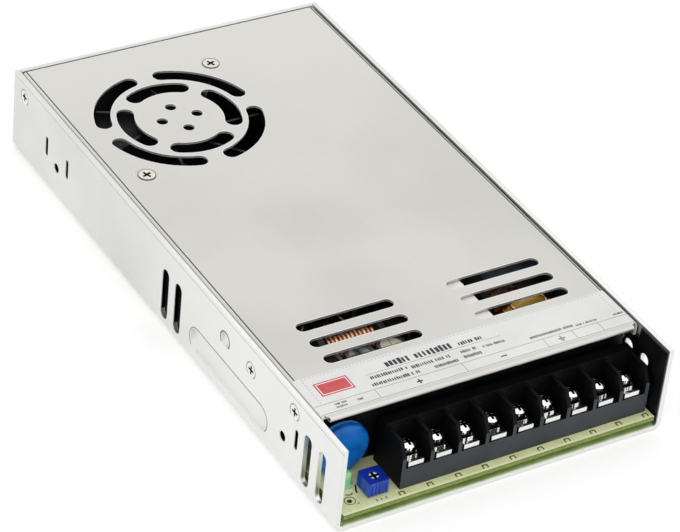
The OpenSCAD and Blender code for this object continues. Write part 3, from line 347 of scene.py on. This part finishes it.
def recess(tree, centre, reach, ceiling, pitch=1000.0):
    """The driver's recess of upright heads: within `reach` mm of an axis and below `ceiling`.

    The axes stand in a row along x, `pitch` mm apart, and `centre` is the (x, y) of one of them.
    """
    x, y, z = places(tree)
    dx = add(tree, "Math", {0: x, 1: centre[0]}, operation="SUBTRACT")
    dx = add(tree, "Math", {0: dx, 1: pitch / 2, 2: -pitch / 2}, operation="WRAP")
    dy = add(tree, "Math", {0: y, 1: centre[1]}, operation="SUBTRACT")
    near = below(tree, squares(tree, dx, dy), reach**2)
    return both(tree, near, below(tree, z, ceiling))


def screw_slot_shade(tree):
    """Painted shade in the recesses of the terminal screws."""
    head = screws_high[1] - screws_low[1]
    first = (screws_low[0] + head / 2, (screws_low[1] + screws_high[1]) / 2)
    pitch = (screws_high[0] - screws_low[0] - head) / (WAYS - 1)
    return recess(tree, first, head * 0.34, screws_high[2] - 0.35, pitch)


def side_slot_shade(tree):
    """Painted shade in the recesses of the screws in both side walls."""
    return below(tree, apart(tree, places(tree)[0]), side_screws_high[0] - 0.15)


def top_slot_shade(tree):
    """Painted shade in the recesses of the screws sunk in the cover."""
    return below(tree, places(tree)[2], fan_screws_high[2] - 0.15)


def head_rim_shade(tree):
    """Painted shade on the rims of the two screws sunk in the cover, at opposite corners of their
    box.
    """
    corners = (fan_screws_low[:2] + COVER_SCREW_RADIUS, fan_screws_high[:2] - COVER_SCREW_RADIUS)
    faces = [recess(tree, c, COVER_SCREW_FACE, 2 * fan_screws_high[2]) for c in corners]
    return outside(tree, add(tree, "Math", {0: faces[0], 1: faces[1]}, operation="ADD"))


def dial_slot_shade(tree):
    """Painted shade in the cross cut in the trimmer's adjuster."""
    return recess(tree, dial_middle, 2.0, dial_high[2] - 0.15)


def dial_rim(tree):
    """The outer ring of the adjuster's face."""
    return outside(tree, recess(tree, dial_middle, 1.4, dial_high[2] + 1))


def block_inside_shade(tree):
    """Painted shade on everything behind the front face of the terminal block, where light hardly
    reaches.
    """
    return above(tree, places(tree)[1], block_low[1] + 0.15)


def upright_streaks(tree, size=0.5):
    """Streaks `size` mm apart down the sides of a part, and none on its top."""
    lines = spread(tree, pattern(tree, size, stretch=(1, 1, 60), detail=1, seed=5), 0.0, 1.0)
    facing = add(tree, "SeparateXYZ", {"Vector": add(tree, "NewGeometry", out="Normal")}, out="Z")
    return both(tree, lines, below(tree, apart(tree, facing), 0.5))


def dark_reflection_streaks(tree):
    """Painted dark reflections: streaks on the upright sides of screw heads and washers."""
    return above(tree, upright_streaks(tree, 0.9), 0.5)


def along(axis, low, high):
    """A mask that is 1 between two places on an axis: 0, 1 or 2 for x, y or z."""
    return lambda tree: between(tree, places(tree)[axis], low, high)


def fading(axis, none, full):
    """A mask that grows evenly from 0 at one place on an axis to 1 at another."""
    bounds = {"From Min": none, "From Max": full, "To Min": 0.0, "To Max": 1.0}
    return lambda tree: add(tree, "MapRange", {"Value": places(tree)[axis], **bounds}, out="Result")


def fold_shade(tree):
    """Painted shade along the crease on both long edges of the cover, where its fold begins."""
    x, _, z = places(tree)
    beside = between(tree, apart(tree, x), flat_half - 0.3, flat_half + 0.15)
    return both(tree, beside, above(tree, z, cover_top - 0.4))


def slot_wall_shade(tree):
    """Painted shade on the cut walls of the middle and rear slots and holes, away from the
    pressings.

    Those at the front stay pale, because light from the open end reaches them.
    """
    x, y, z = places(tree)
    deep = between(tree, apart(tree, x), wall_face - SHEET, wall_face - 0.3)
    upright = both(tree, deep, between(tree, z, *DARK_Z))
    clear = outside(tree, between(tree, y, *PRESSED_Y))
    return both(tree, upright, both(tree, between(tree, y, *DARK_Y), clear))


def top_edge_shade(tree):
    """A faint painted shade line just under the top edge of both side walls."""
    x, _, z = places(tree)
    beside = above(tree, apart(tree, x), wall_face - 0.2)
    return both(tree, beside, between(tree, z, wall_top - 1.25, wall_top - 0.95))


def press_shade_line(middle, radius, half_length=0.0, inset=0.0, width=0.4):
    """A mask for the painted shade line along the rim of a round-ended pressing on both walls.

    It is where the distance to the pressing's middle line, less its radius, is near -inset. That
    line is `half_length` less the radius long on each side of the middle. The lowest part of the
    rim stays bright.
    """

    def mask(tree):
        _, y, z = places(tree)
        ends = {0: apart(tree, y, middle[0]), 1: max(half_length - radius, 0.0)}
        dy = add(tree, "Math", ends, operation="SUBTRACT")
        dy = add(tree, "Math", {0: dy, 1: 0.0}, operation="MAXIMUM")
        dz = add(tree, "Math", {0: z, 1: middle[1]}, operation="SUBTRACT")
        distance = add(tree, "Math", {0: squares(tree, dy, dz), 1: 0.5}, operation="POWER")
        ring = below(tree, apart(tree, distance, radius - inset), width / 2)
        return both(tree, ring, above(tree, dz, -0.7 * radius))

    return mask


# ---------- ways a surface is made ----------


def rolled_sheet(name, dark, light, cut, roughness, over=(), lines_on_top=()):
    """Bare rolled sheet: lines along the case and clouds 45 mm wide.

    Real rolling lines are about 0.05 mm apart and would not show, so they are drawn 0.3 mm apart.
    Cut edges are pale and scatter more light than faces, partly from the raw cut and partly as a
    painted highlight. `over` lies under them and `lines_on_top` over them, both as for layers().
    """
    mat, tree, shader = finish(name)
    lines = pattern(tree, 0.3, stretch=(1, 90, 1), detail=4)
    clouds = pattern(tree, 45, detail=2, seed=3)
    base = layers(tree, shades(tree, clouds, (0.35, dark), (0.65, light)), over)
    # pale cut edges, partly the raw cut and partly a painted highlight
    rim = edges(tree, 0.8)
    paint(tree, shader, "Metallic", outside(tree, rim))
    paint(tree, shader, "Base Color", layers(tree, base, [(rim, cut), *lines_on_top]))
    paint(tree, shader, "Roughness", spread(tree, lines, roughness - 0.05, roughness + 0.05))
    relief(tree, shader, lines, 0.0015, radius=0.3)
    return mat


def plated(name, dark, light, roughness, grain=0.4, depth=0.004, over=()):
    """Plating over a pressed or turned part: faint patches and a fine, slightly uneven skin."""
    mat, tree, shader = finish(name, Metallic=1.0)
    skin = pattern(tree, grain, detail=2)
    base = layers(tree, shades(tree, skin, (0.35, dark), (0.65, light)), over)
    paint(tree, shader, "Base Color", base)
    paint(tree, shader, "Roughness", spread(tree, skin, roughness - 0.05, roughness + 0.07))
    relief(tree, shader, skin, depth, radius=0.12)
    return mat


def moulded(name, dark, light, edge, roughness, grain=0.25, depth=0.004, over=(), ior=1.53):
    """Moulded plastic: a matt texture, soft corners, and paler edges, partly rubbed and partly
    painted highlight.

    The spark-eroded grain of a real mould is near 0.05 mm, and is drawn coarser so that it shows.
    """
    mat, tree, shader = finish(name, IOR=ior)
    skin = pattern(tree, grain, detail=2)
    base = shades(tree, pattern(tree, 12, detail=2, seed=1), (0.35, dark), (0.65, light))
    # paler edges: partly rubbed, partly a painted highlight
    base = layers(tree, base, [(edges(tree, 0.35), edge), *over])
    paint(tree, shader, "Base Color", base)
    paint(tree, shader, "Roughness", spread(tree, skin, roughness - 0.06, roughness + 0.06))
    relief(tree, shader, skin, depth, radius=0.25)
    return mat


def coated(name, dark, light, roughness, size, depth, coat=0.0, ior=1.5):
    """A dipped, wound or sleeved part: shades that drift over `size` mm, and a rippled skin."""
    mat, tree, shader = finish(name, IOR=ior, Coat_Weight=coat, Coat_Roughness=0.12)
    drift = pattern(tree, size, detail=2)
    paint(tree, shader, "Base Color", shades(tree, drift, (0.3, dark), (0.7, light)))
    paint(tree, shader, "Roughness", spread(tree, drift, roughness - 0.04, roughness + 0.06))
    relief(tree, shader, drift, depth)
    return mat


def enamelled_wire(name, dark, light):
    """Copper wire under clear enamel: warm metal with painted shade and painted glints in streaks
    1.5 mm long.
    """
    mat, tree, shader = finish(name, Metallic=1.0, Coat_Weight=0.5, Coat_Roughness=0.15)
    streaks = pattern(tree, 1.5, detail=3)
    # painted shade and glints along the streaks
    paint(tree, shader, "Base Color", shades(tree, streaks, (0.3, dark), (0.7, light)))
    paint(tree, shader, "Roughness", spread(tree, streaks, 0.22, 0.38))
    return mat


def lacquered_board(name):
    """Glass-fibre laminate: lacquer on its faces and the raw weave on its cut edges.

    The weave is 0.9 mm from thread to thread. Painted shade darkens the arris along the top of each
    cut edge, and a painted highlight makes a paler strip 0.8 mm wide along the front of the face.
    """
    mat, tree, shader = finish(name, IOR=1.5, Coat_Weight=0.15)
    _, y, z = places(tree)
    weave = pattern(tree, 0.9, detail=1)
    drift = pattern(tree, 5, detail=3, seed=2)
    face = shades(tree, drift, (0.35, "#DCE2A2"), (0.65, "#EEF2C0"))
    # painted highlight: the paler strip along the front
    face = layers(tree, face, [(below(tree, y, board_low[1] + 0.8), "#F4FACC")])
    cut = shades(tree, weave, (0.35, "#6C8420"), (0.65, "#889C30"))
    # painted shade on the arris at the top of the cut edge
    arris, top = above(tree, z, board_top - 0.3), above(tree, z, board_top - 0.06)
    paint(tree, shader, "Base Color", layers(tree, cut, [(arris, "#3F5514"), (top, face)]))
    paint(tree, shader, "Roughness", spread(tree, weave, 0.38, 0.52))
    relief(tree, shader, weave, 0.01)
    return mat


def tinted_lens(name, dark, light):
    """Cast epoxy of a lamp: light enters, scatters over 2 mm and comes back coloured."""
    mat, tree, shader = finish(
        name, IOR=1.5, Roughness=0.15, Subsurface_Weight=0.5, Subsurface_Scale=0.002,
        Transmission_Weight=0.15, Coat_Weight=0.4,
    )
    drift = pattern(tree, 2, detail=1)
    paint(tree, shader, "Base Color", shades(tree, drift, (0.35, dark), (0.65, light)))
    return mat


def film(name, dark, light, roughness, size=6.0, ior=1.5, **sockets):
    """Printed or coated film: nearly even, with a shade that drifts over `size` mm."""
    mat, tree, shader = finish(name, IOR=ior, **sockets)
    drift = pattern(tree, size, detail=3, seed=4)
    paint(tree, shader, "Base Color", shades(tree, drift, (0.35, dark), (0.65, light)))
    paint(tree, shader, "Roughness", spread(tree, drift, roughness - 0.04, roughness + 0.04))
    return mat


# ---------- sheet metal and plated parts ----------

# Bare aluminium, rolled and folded: a pale satin with painted light that brightens it to the front
# end, painted shade that makes the slots near-black, a faint painted shade line under the top edge,
# and soft grey painted shade lines where the sheet is pressed round the ledge, the dimple and the
# screws
TRAY = rolled_sheet(
    "bare_aluminium_tray", "#D7D8D4", "#E0E1DD", "#F2F3F0", 0.36,
    # painted light: brighter toward the front end
    over=[(fading(1, 15, -45), "#E9EAE7")],
    lines_on_top=[
        # painted shade: near-black cut walls of the middle and rear slots
        (slot_wall_shade, "#151516"),
        # painted shade: a faint line under the top edge
        (top_edge_shade, "#BDBEB9"),
        # painted shade: lines round the rims of the ledge and the dimple
        (press_shade_line(LEDGE, LEDGE_RADIUS, LEDGE_HALF, inset=-0.05, width=0.45), "#8C8D88"),
        (press_shade_line(DIMPLE, DIMPLE_RADIUS, width=0.6), "#74756F"),
    ],
)
# The same sheet as the lid: a shade greyer and duller, with painted light that brightens it to the
# rear, and painted shade along the crease at each fold
COVER = rolled_sheet(
    "bare_aluminium_cover", "#C6C5C0", "#CECDC8", "#FFFFFF", 0.42,
    # painted light brighter toward the rear, and painted shade along each fold crease
    over=[(fading(1, 0, 100), "#D4D3CE")], lines_on_top=[(fold_shade, "#4E4F48")],
)
# Extruded aluminium bar: an even mid grey that shows only through slots
BAR = rolled_sheet("extruded_aluminium_bar", "#B9BBBC", "#C9CBCC", "#DADBDB", 0.4)
# Bright nickel on steel: hard white glints broken by painted dark reflections, and painted shade
# that makes the recesses near-black
NICKEL = plated(
    "bright_nickel_plate", "#DEDDDA", "#F4F4F2", 0.07, depth=0.0015,
    # painted dark reflections on the sides, and painted shade in the recesses
    over=[(dark_reflection_streaks, "#35332E"), (screw_slot_shade, "#17171A")],
)
# Bright tin on brass and copper: a smooth white shine, a little softer than nickel
TIN = plated("bright_tin_plate", "#E2E2E0", "#F4F4F2", 0.12, depth=0.002)
# Clear-passivated zinc on steel: a warm grey satin
ZINC = plated("clear_zinc_plate", "#C9C6B4", "#DDDBCB", 0.3)
# The same on the wall's countersunk screws: pale heads with a thin ring of painted shade and
# painted shade in a dark cross
SIDE_ZINC = plated(
    "clear_zinc_plate_of_side_screws", "#DFDFDB", "#F0F0EC", 0.2,
    over=[
        # painted shade: a thin ring round each head, and the dark cross
        *[(press_shade_line(at, SCREW_RADIUS, inset=0.25, width=0.35), "#8E8F8B") for at in SIDE_SCREWS],
        (side_slot_shade, "#17171A"),
    ],
)
# The same on the cover's screws: creamy heads with painted shade on the rim and in a grey cross
TOP_ZINC = plated(
    "clear_zinc_plate_of_cover_screws", "#D5D3C4", "#E4E2D6", 0.25,
    # painted shade on the rims and in the crosses
    over=[(head_rim_shade, "#6A6A62"), (top_slot_shade, "#4A4A44")],
)
# Drawn aluminium cans: satin grey, with painted shade that makes those on the left nearly black,
# and beige on the right
CAN = plated(
    "drawn_aluminium_can", "#4A4A4E", "#9A9CA0", 0.3, grain=3.0,
    # painted shade on the left cans; beige on the right
    over=[(along(0, -60, -31.5), "#1E1D20"), (along(0, -20.5, -9.5), "#C4C1B0")],
)

# ---------- moulded parts ----------

# Glass-filled thermoplastic: a charcoal front with paler edges, partly rubbed and partly painted
# highlight, and painted shade that makes the bays nearly black
BLOCK = moulded(
    # painted shade inside the block's bays
    "glass_filled_thermoplastic", "#3E4146", "#464A4E", "#585C61", 0.5,
    over=[(block_inside_shade, "#08090A")], ior=1.22,
)
# Moulded epoxy round chips and parts: a dull black
BLACK = moulded("black_moulded_epoxy", "#141416", "#1C1C1F", "#2E2E31", 0.5, ior=1.4)
# Fan plastic: black with a slight sheen, and paler edges, partly rubbed and partly painted
# highlight, so that the edge of a blade shows as a thin line
FAN = moulded("black_fan_plastic", "#0B0C0E", "#131417", "#2A2C30", 0.36, ior=1.35)
# Blue thermoset of the trimmer's case: deep blue, with paler streaks on its ribbed sides
BLUE_CASE = moulded(
    "blue_moulded_thermoset", "#0C2690", "#1230A8", "#1A44B8", 0.36, grain=0.6,
    over=[(upright_streaks, "#2E5CC8")], ior=1.4,
)
# White nylon of its adjuster: a white face with a blue rim, and painted shade that makes the
# cross black
WHITE = moulded(
    "white_moulded_nylon", "#E4E6EA", "#F2F3F5", "#FFFFFF", 0.35,
    # blue rim, and painted shade in the cross
    over=[(dial_rim, "#1A38A4"), (dial_slot_shade, "#0B0C12")],
)

# ---------- wound, dipped and sleeved parts ----------

# Epoxy powder fused on a disc: a smooth, strong blue with a soft gloss
BLUE_COAT = coated("dipped_blue_epoxy", "#005AB4", "#0880DC", 0.3, 6.0, 0.03, coat=0.1, ior=1.38)
# Enamelled copper wire: painted orange shade and painted pale pink glints from turn to turn
COPPER = enamelled_wire("enamelled_copper_wire", "#A0603A", "#F4C8A0")
# Sintered ferrite: a matt dark grey with a fine grain
FERRITE = coated("sintered_ferrite", "#242526", "#343638", 0.62, 0.8, 0.01)
# Painted iron powder rings: thick glossy yellow and dull dark green
IRON = coated("yellow_coated_iron_powder", "#B88F1E", "#E0B93A", 0.38, 4.0, 0.02, coat=0.3)
GREEN_CORE = coated("green_coated_iron_powder", "#22352A", "#34503C", 0.45, 3.0, 0.02, coat=0.2)
# Polyester tape round a transformer: glossy yellow with slight waves
TAPE = coated("yellow_polyester_tape", "#D8A92A", "#F0CC50", 0.3, 3.0, 0.02, coat=0.3)
# Shrink sleeves: tight, smooth and glossy, in black and in a brown that is nearly black
SLEEVE = coated("black_shrink_sleeve", "#121214", "#1E1D20", 0.3, 5.0, 0.01, coat=0.3)
BROWN_SLEEVE = coated("dark_brown_shrink_sleeve", "#1A1110", "#2A1A16", 0.3, 4.0, 0.01, coat=0.3)
# Plastic box of a film capacitor: plain grey-blue
FILM_BOX = coated("grey_blue_moulded_box", "#525E6C", "#6A7785", 0.4, 3.0, 0.01)
# Glazed ceramic: a glossy cream tube
CERAMIC = coated("glazed_ceramic_tube", "#E4DFD0", "#F2EEE2", 0.25, 5.0, 0.005, coat=0.4)
# Lacquered oxide disc: dark green, nearly black
NTC = coated("dark_green_lacquered_disc", "#131D15", "#1E2C20", 0.35, 2.0, 0.02, coat=0.2)

# ---------- board, lamp, films and inks ----------

# Solder lacquer on glass laminate: a pale yellow-green face over an olive cut edge
BOARD = lacquered_board("solder_lacquer_on_glass_laminate")
# Green lacquer on the upright control board: even dark green
GREEN_BOARD = coated("green_lacquered_laminate", "#1F4A28", "#2C6236", 0.4, 2.0, 0.005)
# Tinted epoxy of the status lamp: a pale green that glows softly at its rim
LENS = tinted_lens("tinted_epoxy", "#8FE0A4", "#B4F0BE")
# Polyester films: black behind the slots and terminals, green on the floor, white under the vents
INSULATOR = film("black_polyester_film", "#0C0D0F", "#131417", 0.35, ior=1.25)
GREEN_FILM = film("pale_green_polyester_film", "#9BB06E", "#B6C788", 0.3)
BAFFLE = film("white_polyester_film", "#ECEBE6", "#F6F5F1", 0.45)
# Silver polyester of the label: paler and more even than the sheet below it
LABEL = film("pale_silver_label_film", "#DADBD8", "#E4E4E2", 0.38, size=20.0, Metallic=0.35)
# Printed inks: thin, matt and without relief
INK = film("dark_grey_ink", "#1C1C20", "#2C2C32", 0.6, size=1.0)
FAINT_INK = film("pale_grey_ink", "#74767A", "#888A8E", 0.6, size=1.0)
DOT_INK = film("dotted_border_ink", "#B4B6B5", "#C4C6C5", 0.6, size=1.0)
RED_INK = film("red_ink", "#C8474B", "#D2565A", 0.5, size=2.0)
WHITE_INK = film("white_ink", "#F2F2F0", "#FAFAF8", 0.5, size=2.0)
BOARD_INK = film("black_legend_ink", "#17170F", "#26261A", 0.6, size=1.0)
RING_INK = film("olive_legend_ink", "#5E5A28", "#777234", 0.6, size=1.0)
ORANGE_INK = film("orange_legend_ink", "#C48A38", "#D89C48", 0.6, size=1.0)

FINISHES = [
    (TRAY, ["chassis"]),
    (COVER, ["top_cover"]),
    (BAR, ["left_heatsink", "right_heatsink"]),
    (NICKEL, ["terminal_washers", "terminal_screws"]),
    (TIN, ["pcb_standoffs", "terminal_plates", "transistor_leads", "fuse_clips"]),
    (ZINC, ["pcb_screws"]),
    (SIDE_ZINC, ["cover_screws", "heatsink_screws"]),
    (TOP_ZINC, ["fan_screws"]),
    (CAN, ["output_capacitor_cans"]),
    (BLOCK, ["terminal_block"]),
    (BLACK, [
        "transistor_bodies", "bridge_rectifier", "filter_choke_body", "optocouplers", "relay",
    ]),
    (FAN, ["fan_frame", "fan_rotor"]),
    (BLUE_CASE, ["trimmer_body"]),
    (WHITE, ["trimmer_adjuster"]),
    (BLUE_COAT, ["blue_disc"]),
    (COPPER, [
        "fan_stator", "drum_choke_winding", "boost_choke_winding", "line_choke_winding",
        "filter_choke_winding",
    ]),
    (FERRITE, ["transformer_core", "drum_choke_core"]),
    (IRON, ["line_choke_core"]),
    (GREEN_CORE, ["boost_choke_core"]),
    (TAPE, ["transformer_winding"]),
    (SLEEVE, ["bulk_capacitor"]),
    (BROWN_SLEEVE, ["output_capacitor_sleeves"]),
    (FILM_BOX, ["film_capacitor"]),
    (CERAMIC, ["fuse_tube"]),
    (NTC, ["thermistor"]),
    (BOARD, ["main_pcb"]),
    (GREEN_BOARD, ["control_board"]),
    (LENS, ["status_lamp"]),
    (INSULATOR, ["side_insulator", "terminal_shield", "fan_film"]),
    (GREEN_FILM, ["board_film"]),
    (BAFFLE, ["air_baffle"]),
]
for material, nodes in FINISHES:
    for node in nodes:
        for material_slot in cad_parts[node].material_slots:
            material_slot.material = material

# ---------- rating label on the cover ----------

# The film's faces lie GLUE and FILM_THICK over the cover, and ink is INK_THICK high
GLUE, FILM_THICK, INK_THICK = 0.004, 0.06, 0.012

# Ends of the label, lines of its table and its dotted border: DIVIDERS and BORDER_X are places
# on x, LABEL_HALF is measured over the sheet, and the rest are places on y or gaps
LABEL_HALF = flat_half + 0.8
LABEL_FRONT, LABEL_REAR = cover_front + 1.9, -73.4
HEADING_LINE, CELL_TOP, CELL_FOOT = -79.7, -86.4, -90.5
CELL_MIDDLE = -88.5
DIVIDERS = [-34.9, -4.9, 23.9, 34.3, 43.9]
BORDER_X, BORDER_GAP = 52.4, 0.75
DOT_PITCH, DOT_LENGTH, DOT_WIDTH = 1.25, 0.6, 0.3

# The red patch as (x0, y0, x1, y1), and the white line inside it: its inset and its width
PATCH = (-50.4, -83.2, -39.2, -77.1)
FRAME_INSET, FRAME_WIDTH = 0.5, 0.3

# Lines of print: first and last x, middle y and height
PRINT_ROWS = [
    (-26.0, -3.6, -77.7, 2.9), (-0.8, 7.6, -78.1, 1.7),
    (-34.0, -21.0, -81.4, 1.5), (-19.4, -6.4, -81.9, 1.5),
    (-2.2, 2.8, -81.7, 1.4), (5.4, 12.6, -82.2, 1.1),
    (-34.4, -18.6, -84.5, 1.5), (-13.0, -5.2, -84.6, 1.4), (-3.2, 3.2, -84.2, 1.4),
    (20.7, 35.8, -84.5, 1.2), (37.0, 44.6, -84.9, 0.9), (50.7, 54.0, -85.1, 1.0),
    (-49.0, -45.0, -87.6, 0.9), (-49.0, -45.6, -89.0, 0.8), (-41.6, -39.6, -88.4, 1.0),
]

# Marks over the terminals: strokes from (x0, y0) to (x1, y1) round the middle of a cell
PLUS = [(-1.05, 0, 1.05, 0), (0, -1.05, 0, 1.05)]
MINUS = [(-1.05, 0, 1.05, 0)]
EARTH = [
    (0, 0.1, 0, 1.3), (-1.2, 0.1, 1.2, 0.1), (-0.75, -0.5, 0.75, -0.5), (-0.3, -1.1, 0.3, -1.1),
]


def label_film():
    """A strip over the cover: one plate on the flat top and four round each fold."""
    reach = np.linspace(0, LABEL_HALF - flat_half, 5)
    across = np.concatenate([-flat_half - reach[::-1], flat_half + reach])
    count = len(across) - 1
    rows = [across[:-1], np.full(count, LABEL_FRONT), across[1:], np.full(count, LABEL_REAR)]
    return plates(bars(np.column_stack(rows)), on_cover, GLUE, FILM_THICK)


def rule(x0, x1, y, width):
    """A printed line across the label, in short lengths where it runs over a fold."""
    bends = np.linspace(flat_half, LABEL_HALF, 4)
    stops = np.unique(np.clip(np.concatenate([[x0, x1], -bends, bends]), x0, x1))
    count = len(stops) - 1
    low, high = np.full(count, y - width / 2), np.full(count, y + width / 2)
    return np.column_stack([stops[:-1], low, stops[1:], high])


def upright_rules(places_x, width):
    """Printed lines along the case, from the foot to the top of the table's cells."""
    x = np.asarray(places_x)
    low, high = np.full(len(x), CELL_FOOT), np.full(len(x), CELL_TOP)
    return np.column_stack([x - width / 2, low, x + width / 2, high])


def dotted_border():
    """Dots along the rear and both ends of the label: short bars at steps of DOT_PITCH."""
    x = np.arange(-BORDER_X, BORDER_X + 0.2, DOT_PITCH)
    y = np.arange(LABEL_REAR - 2.2, CELL_TOP, -DOT_PITCH)
    low = np.full(len(x), LABEL_REAR - BORDER_GAP)
    dots = [np.column_stack([x, low, x + DOT_LENGTH, low + DOT_WIDTH])]
    for side in (-BORDER_X, BORDER_X):
        left = np.full(len(y), side - DOT_WIDTH / 2)
        dots.append(np.column_stack([left, y, left + DOT_WIDTH, y + DOT_LENGTH]))
    return np.concatenate(dots)


def words(rng, rows):
    """Upright strokes in groups, in place of each line of print.

    They stand half a height apart, one in eight is left out, and the rest get random widths,
    feet and tops.
    """
    lines = []
    for x0, x1, y, height in rows:
        x = np.arange(x0, x1, 0.5 * height)
        x = x[rng.random(len(x)) > 0.12]
        width = height * rng.uniform(0.24, 0.4, len(x))
        low = y - height * rng.uniform(0.36, 0.5, len(x))
        high = y + height * rng.uniform(0.3, 0.5, len(x))
        lines.append(np.column_stack([x, low, x + width, high]))
    return np.concatenate(lines)


def frame_line(box, inset, width):
    """Four bars inside a rectangle, `inset` from its edge: front, rear, left and right."""
    x0, y0, x1, y1 = np.asarray(box) + np.array([1, 1, -1, -1]) * inset
    return [
        (x0, y0, x1, y0 + width), (x0, y1 - width, x1, y1),
        (x0, y0 + width, x0 + width, y1 - width), (x1 - width, y0 + width, x1, y1 - width),
    ]


def print_on(name, outlines, place, lift, material, slot):
    """Ink laid on a surface: one piece from several sets of outlines."""
    verts, faces = join([plates(o, place, lift, lift + INK_THICK) for o in outlines])
    return piece(name, verts, faces, material, slot)


piece("rating_label", *label_film(), LABEL, "pale_film")

rules = [
    rule(-LABEL_HALF, LABEL_HALF, CELL_TOP, 0.16),
    rule(-LABEL_HALF, LABEL_HALF, CELL_FOOT, 0.16),
    rule(-34.0, 13.0, HEADING_LINE, 0.14),
    upright_rules(DIVIDERS, 0.16),
]
lines = [bars(words(np.random.default_rng(7), PRINT_ROWS))]
lines += [
    strokes((x, CELL_MIDDLE), mark, width)
    for x, mark, width in ((-20.6, PLUS, 0.5), (8.8, MINUS, 0.5), (29.5, EARTH, 0.3))
]
label_print = [
    ("label_rules", [bars(np.concatenate(rules))], FILM_THICK, FAINT_INK),
    ("label_border", [bars(dotted_border())], FILM_THICK, DOT_INK),
    ("label_print", lines, FILM_THICK, INK),
    ("label_red_patch", [bars([PATCH])], FILM_THICK, RED_INK),
    (
        "label_patch_frame", [bars(frame_line(PATCH, FRAME_INSET, FRAME_WIDTH))],
        FILM_THICK + INK_THICK, WHITE_INK,
    ),
]
for name, outlines, lift, ink in label_print:
    print_on(name, outlines, on_cover, lift, ink, "pale_film")

# ---------- print on the circuit board ----------

# Middles of the bracket marks along the front edge, of the fixing ring and of the dot
BRACKET_X, BRACKET_Y = [-34.3, -24.6, -14.8, -5.4, 4.4, 14.3, 23.9, 33.3, 42.8, 52.6], -105.6
RING, DOT = (-49.9, -102.2), (-48.1, -104.1)
PAD_RADIUS, DOT_RADIUS, PINHOLE = 0.42, 0.4, 0.02

# Strokes round their middles: a bracket, three ticks, a bent lead and a shallow cup
BRACKET = [(-0.8, -0.7, -0.8, 0.7), (0.8, -0.7, 0.8, 0.7), (-0.8, 0.7, 0.8, 0.7)]
TICKS = [(-1.6, -0.5, -1.6, 0.4), (0, -0.5, 0, 0.4), (1.6, -0.5, 1.6, 0.4)]
LEAD = [(0.7, 1.6, 0.1, 0.3), (0.1, 0.3, -0.5, -0.8), (-0.5, -0.8, -0.6, -1.8)]
CUP = [(-1.2, 0, -0.4, -0.5), (-0.4, -0.5, 0.6, -0.5), (0.6, -0.5, 1.2, 0)]

legend = [
    *[strokes((x, BRACKET_Y), BRACKET, 0.4) for x in BRACKET_X],
    rings(RING, PAD_RADIUS, PINHOLE, 12),
    strokes((-41.0, -105.2), TICKS, 0.35),
    strokes((-45.5, -98.2), LEAD, 0.55),
    strokes((-48.6, -99.4), CUP, 0.4),
]
board_print = [
    ("board_print", legend, BOARD_INK),
    ("board_ring", [rings(RING, 1.8, 1.5)], RING_INK),
    ("board_dot", [rings(DOT, DOT_RADIUS, PINHOLE, 12)], ORANGE_INK),
]
for name, outlines, ink in board_print:
    print_on(name, outlines, on_board, 0.005, ink, "board")

# ---------- studio ----------

SKY_LIGHT, FLOOR_GLOW = 0.62, 0.27
FLOOR_REACH, FLOOR_DROP = 4.0, 0.0002


def seen(tree):
    """1 for rays that reach the eye, directly, in a reflection or through glass."""
    path = add(tree, "LightPath").node.outputs
    pair = {0: path["Is Camera Ray"], 1: path["Is Glossy Ray"]}
    pair = add(tree, "Math", pair, operation="MAXIMUM")
    all_three = {0: pair, 1: path["Is Transmission Ray"]}
    return add(tree, "Math", all_three, operation="MAXIMUM")


def even_sky():
    """A white surround to the eye, at SKY_LIGHT as a source of light."""
    world = bpy.data.worlds.new("studio")
    world.use_nodes = True
    bpy.context.scene.world = world
    sky = world.node_tree.nodes["Background"]
    sky.inputs["Color"].default_value = (1, 1, 1, 1)
    level = {"Value": seen(world.node_tree), "To Min": SKY_LIGHT, "To Max": 1.0}
    level = add(world.node_tree, "MapRange", level, out="Result")
    world.node_tree.links.new(level, sky.inputs["Strength"])


def floor_paint():
    """Pale matt floor with a glow that only the eye sees. From below it is clear."""
    mat, tree, shader = finish("pale_studio_floor", Roughness=0.9, Specular_IOR_Level=0.1)
    shader.inputs["Base Color"].default_value = linear("#EDEDED")
    strength = add(tree, "Math", {0: seen(tree), 1: FLOOR_GLOW}, operation="MULTIPLY")
    glow = add(tree, "Emission", {"Strength": strength})
    lit = add(tree, "AddShader", {0: shader.outputs[0], 1: glow})
    under = add(tree, "NewGeometry", out="Backfacing")
    one_way = add(tree, "MixShader", {0: under, 1: lit, 2: add(tree, "BsdfTransparent")})
    tree.links.new(one_way, tree.nodes["Material Output"].inputs["Surface"])
    return mat


def wide_floor():
    """A square floor just under the case."""
    mesh = bpy.data.meshes.new("floor")
    signs = ((-1, -1), (1, -1), (1, 1), (-1, 1))
    corners = [(x * FLOOR_REACH, y * FLOOR_REACH, 0) for x, y in signs]
    mesh.from_pydata(corners, [], [(0, 1, 2, 3)])
    mesh.materials.append(floor_paint())
    floor = bpy.data.objects.new("floor", mesh)
    floor.location.z = -FLOOR_DROP
    bpy.context.collection.objects.link(floor)
    return floor


def soft_sun(name, azimuth, elevation, strength, width):
    """A broad even lamp far away, `width` degrees across, shining from that side of the case."""
    data = bpy.data.lights.new(name, "SUN")
    data.energy, data.angle = strength, math.radians(width)
    lamp = bpy.data.objects.new(name, data)
    lamp.rotation_mode = "QUATERNION"
    source = towards(math.radians(azimuth), math.radians(elevation))
    lamp.rotation_quaternion = source.to_track_quat("Z", "Y")
    bpy.context.collection.objects.link(lamp)


even_sky()
floor = wide_floor()
soft_sun("key_lamp", -60, 55, 0.9, 120)
soft_sun("fill_lamp", 70, 50, 0.35, 120)

bpy.context.scene.view_settings.view_transform = "Standard"
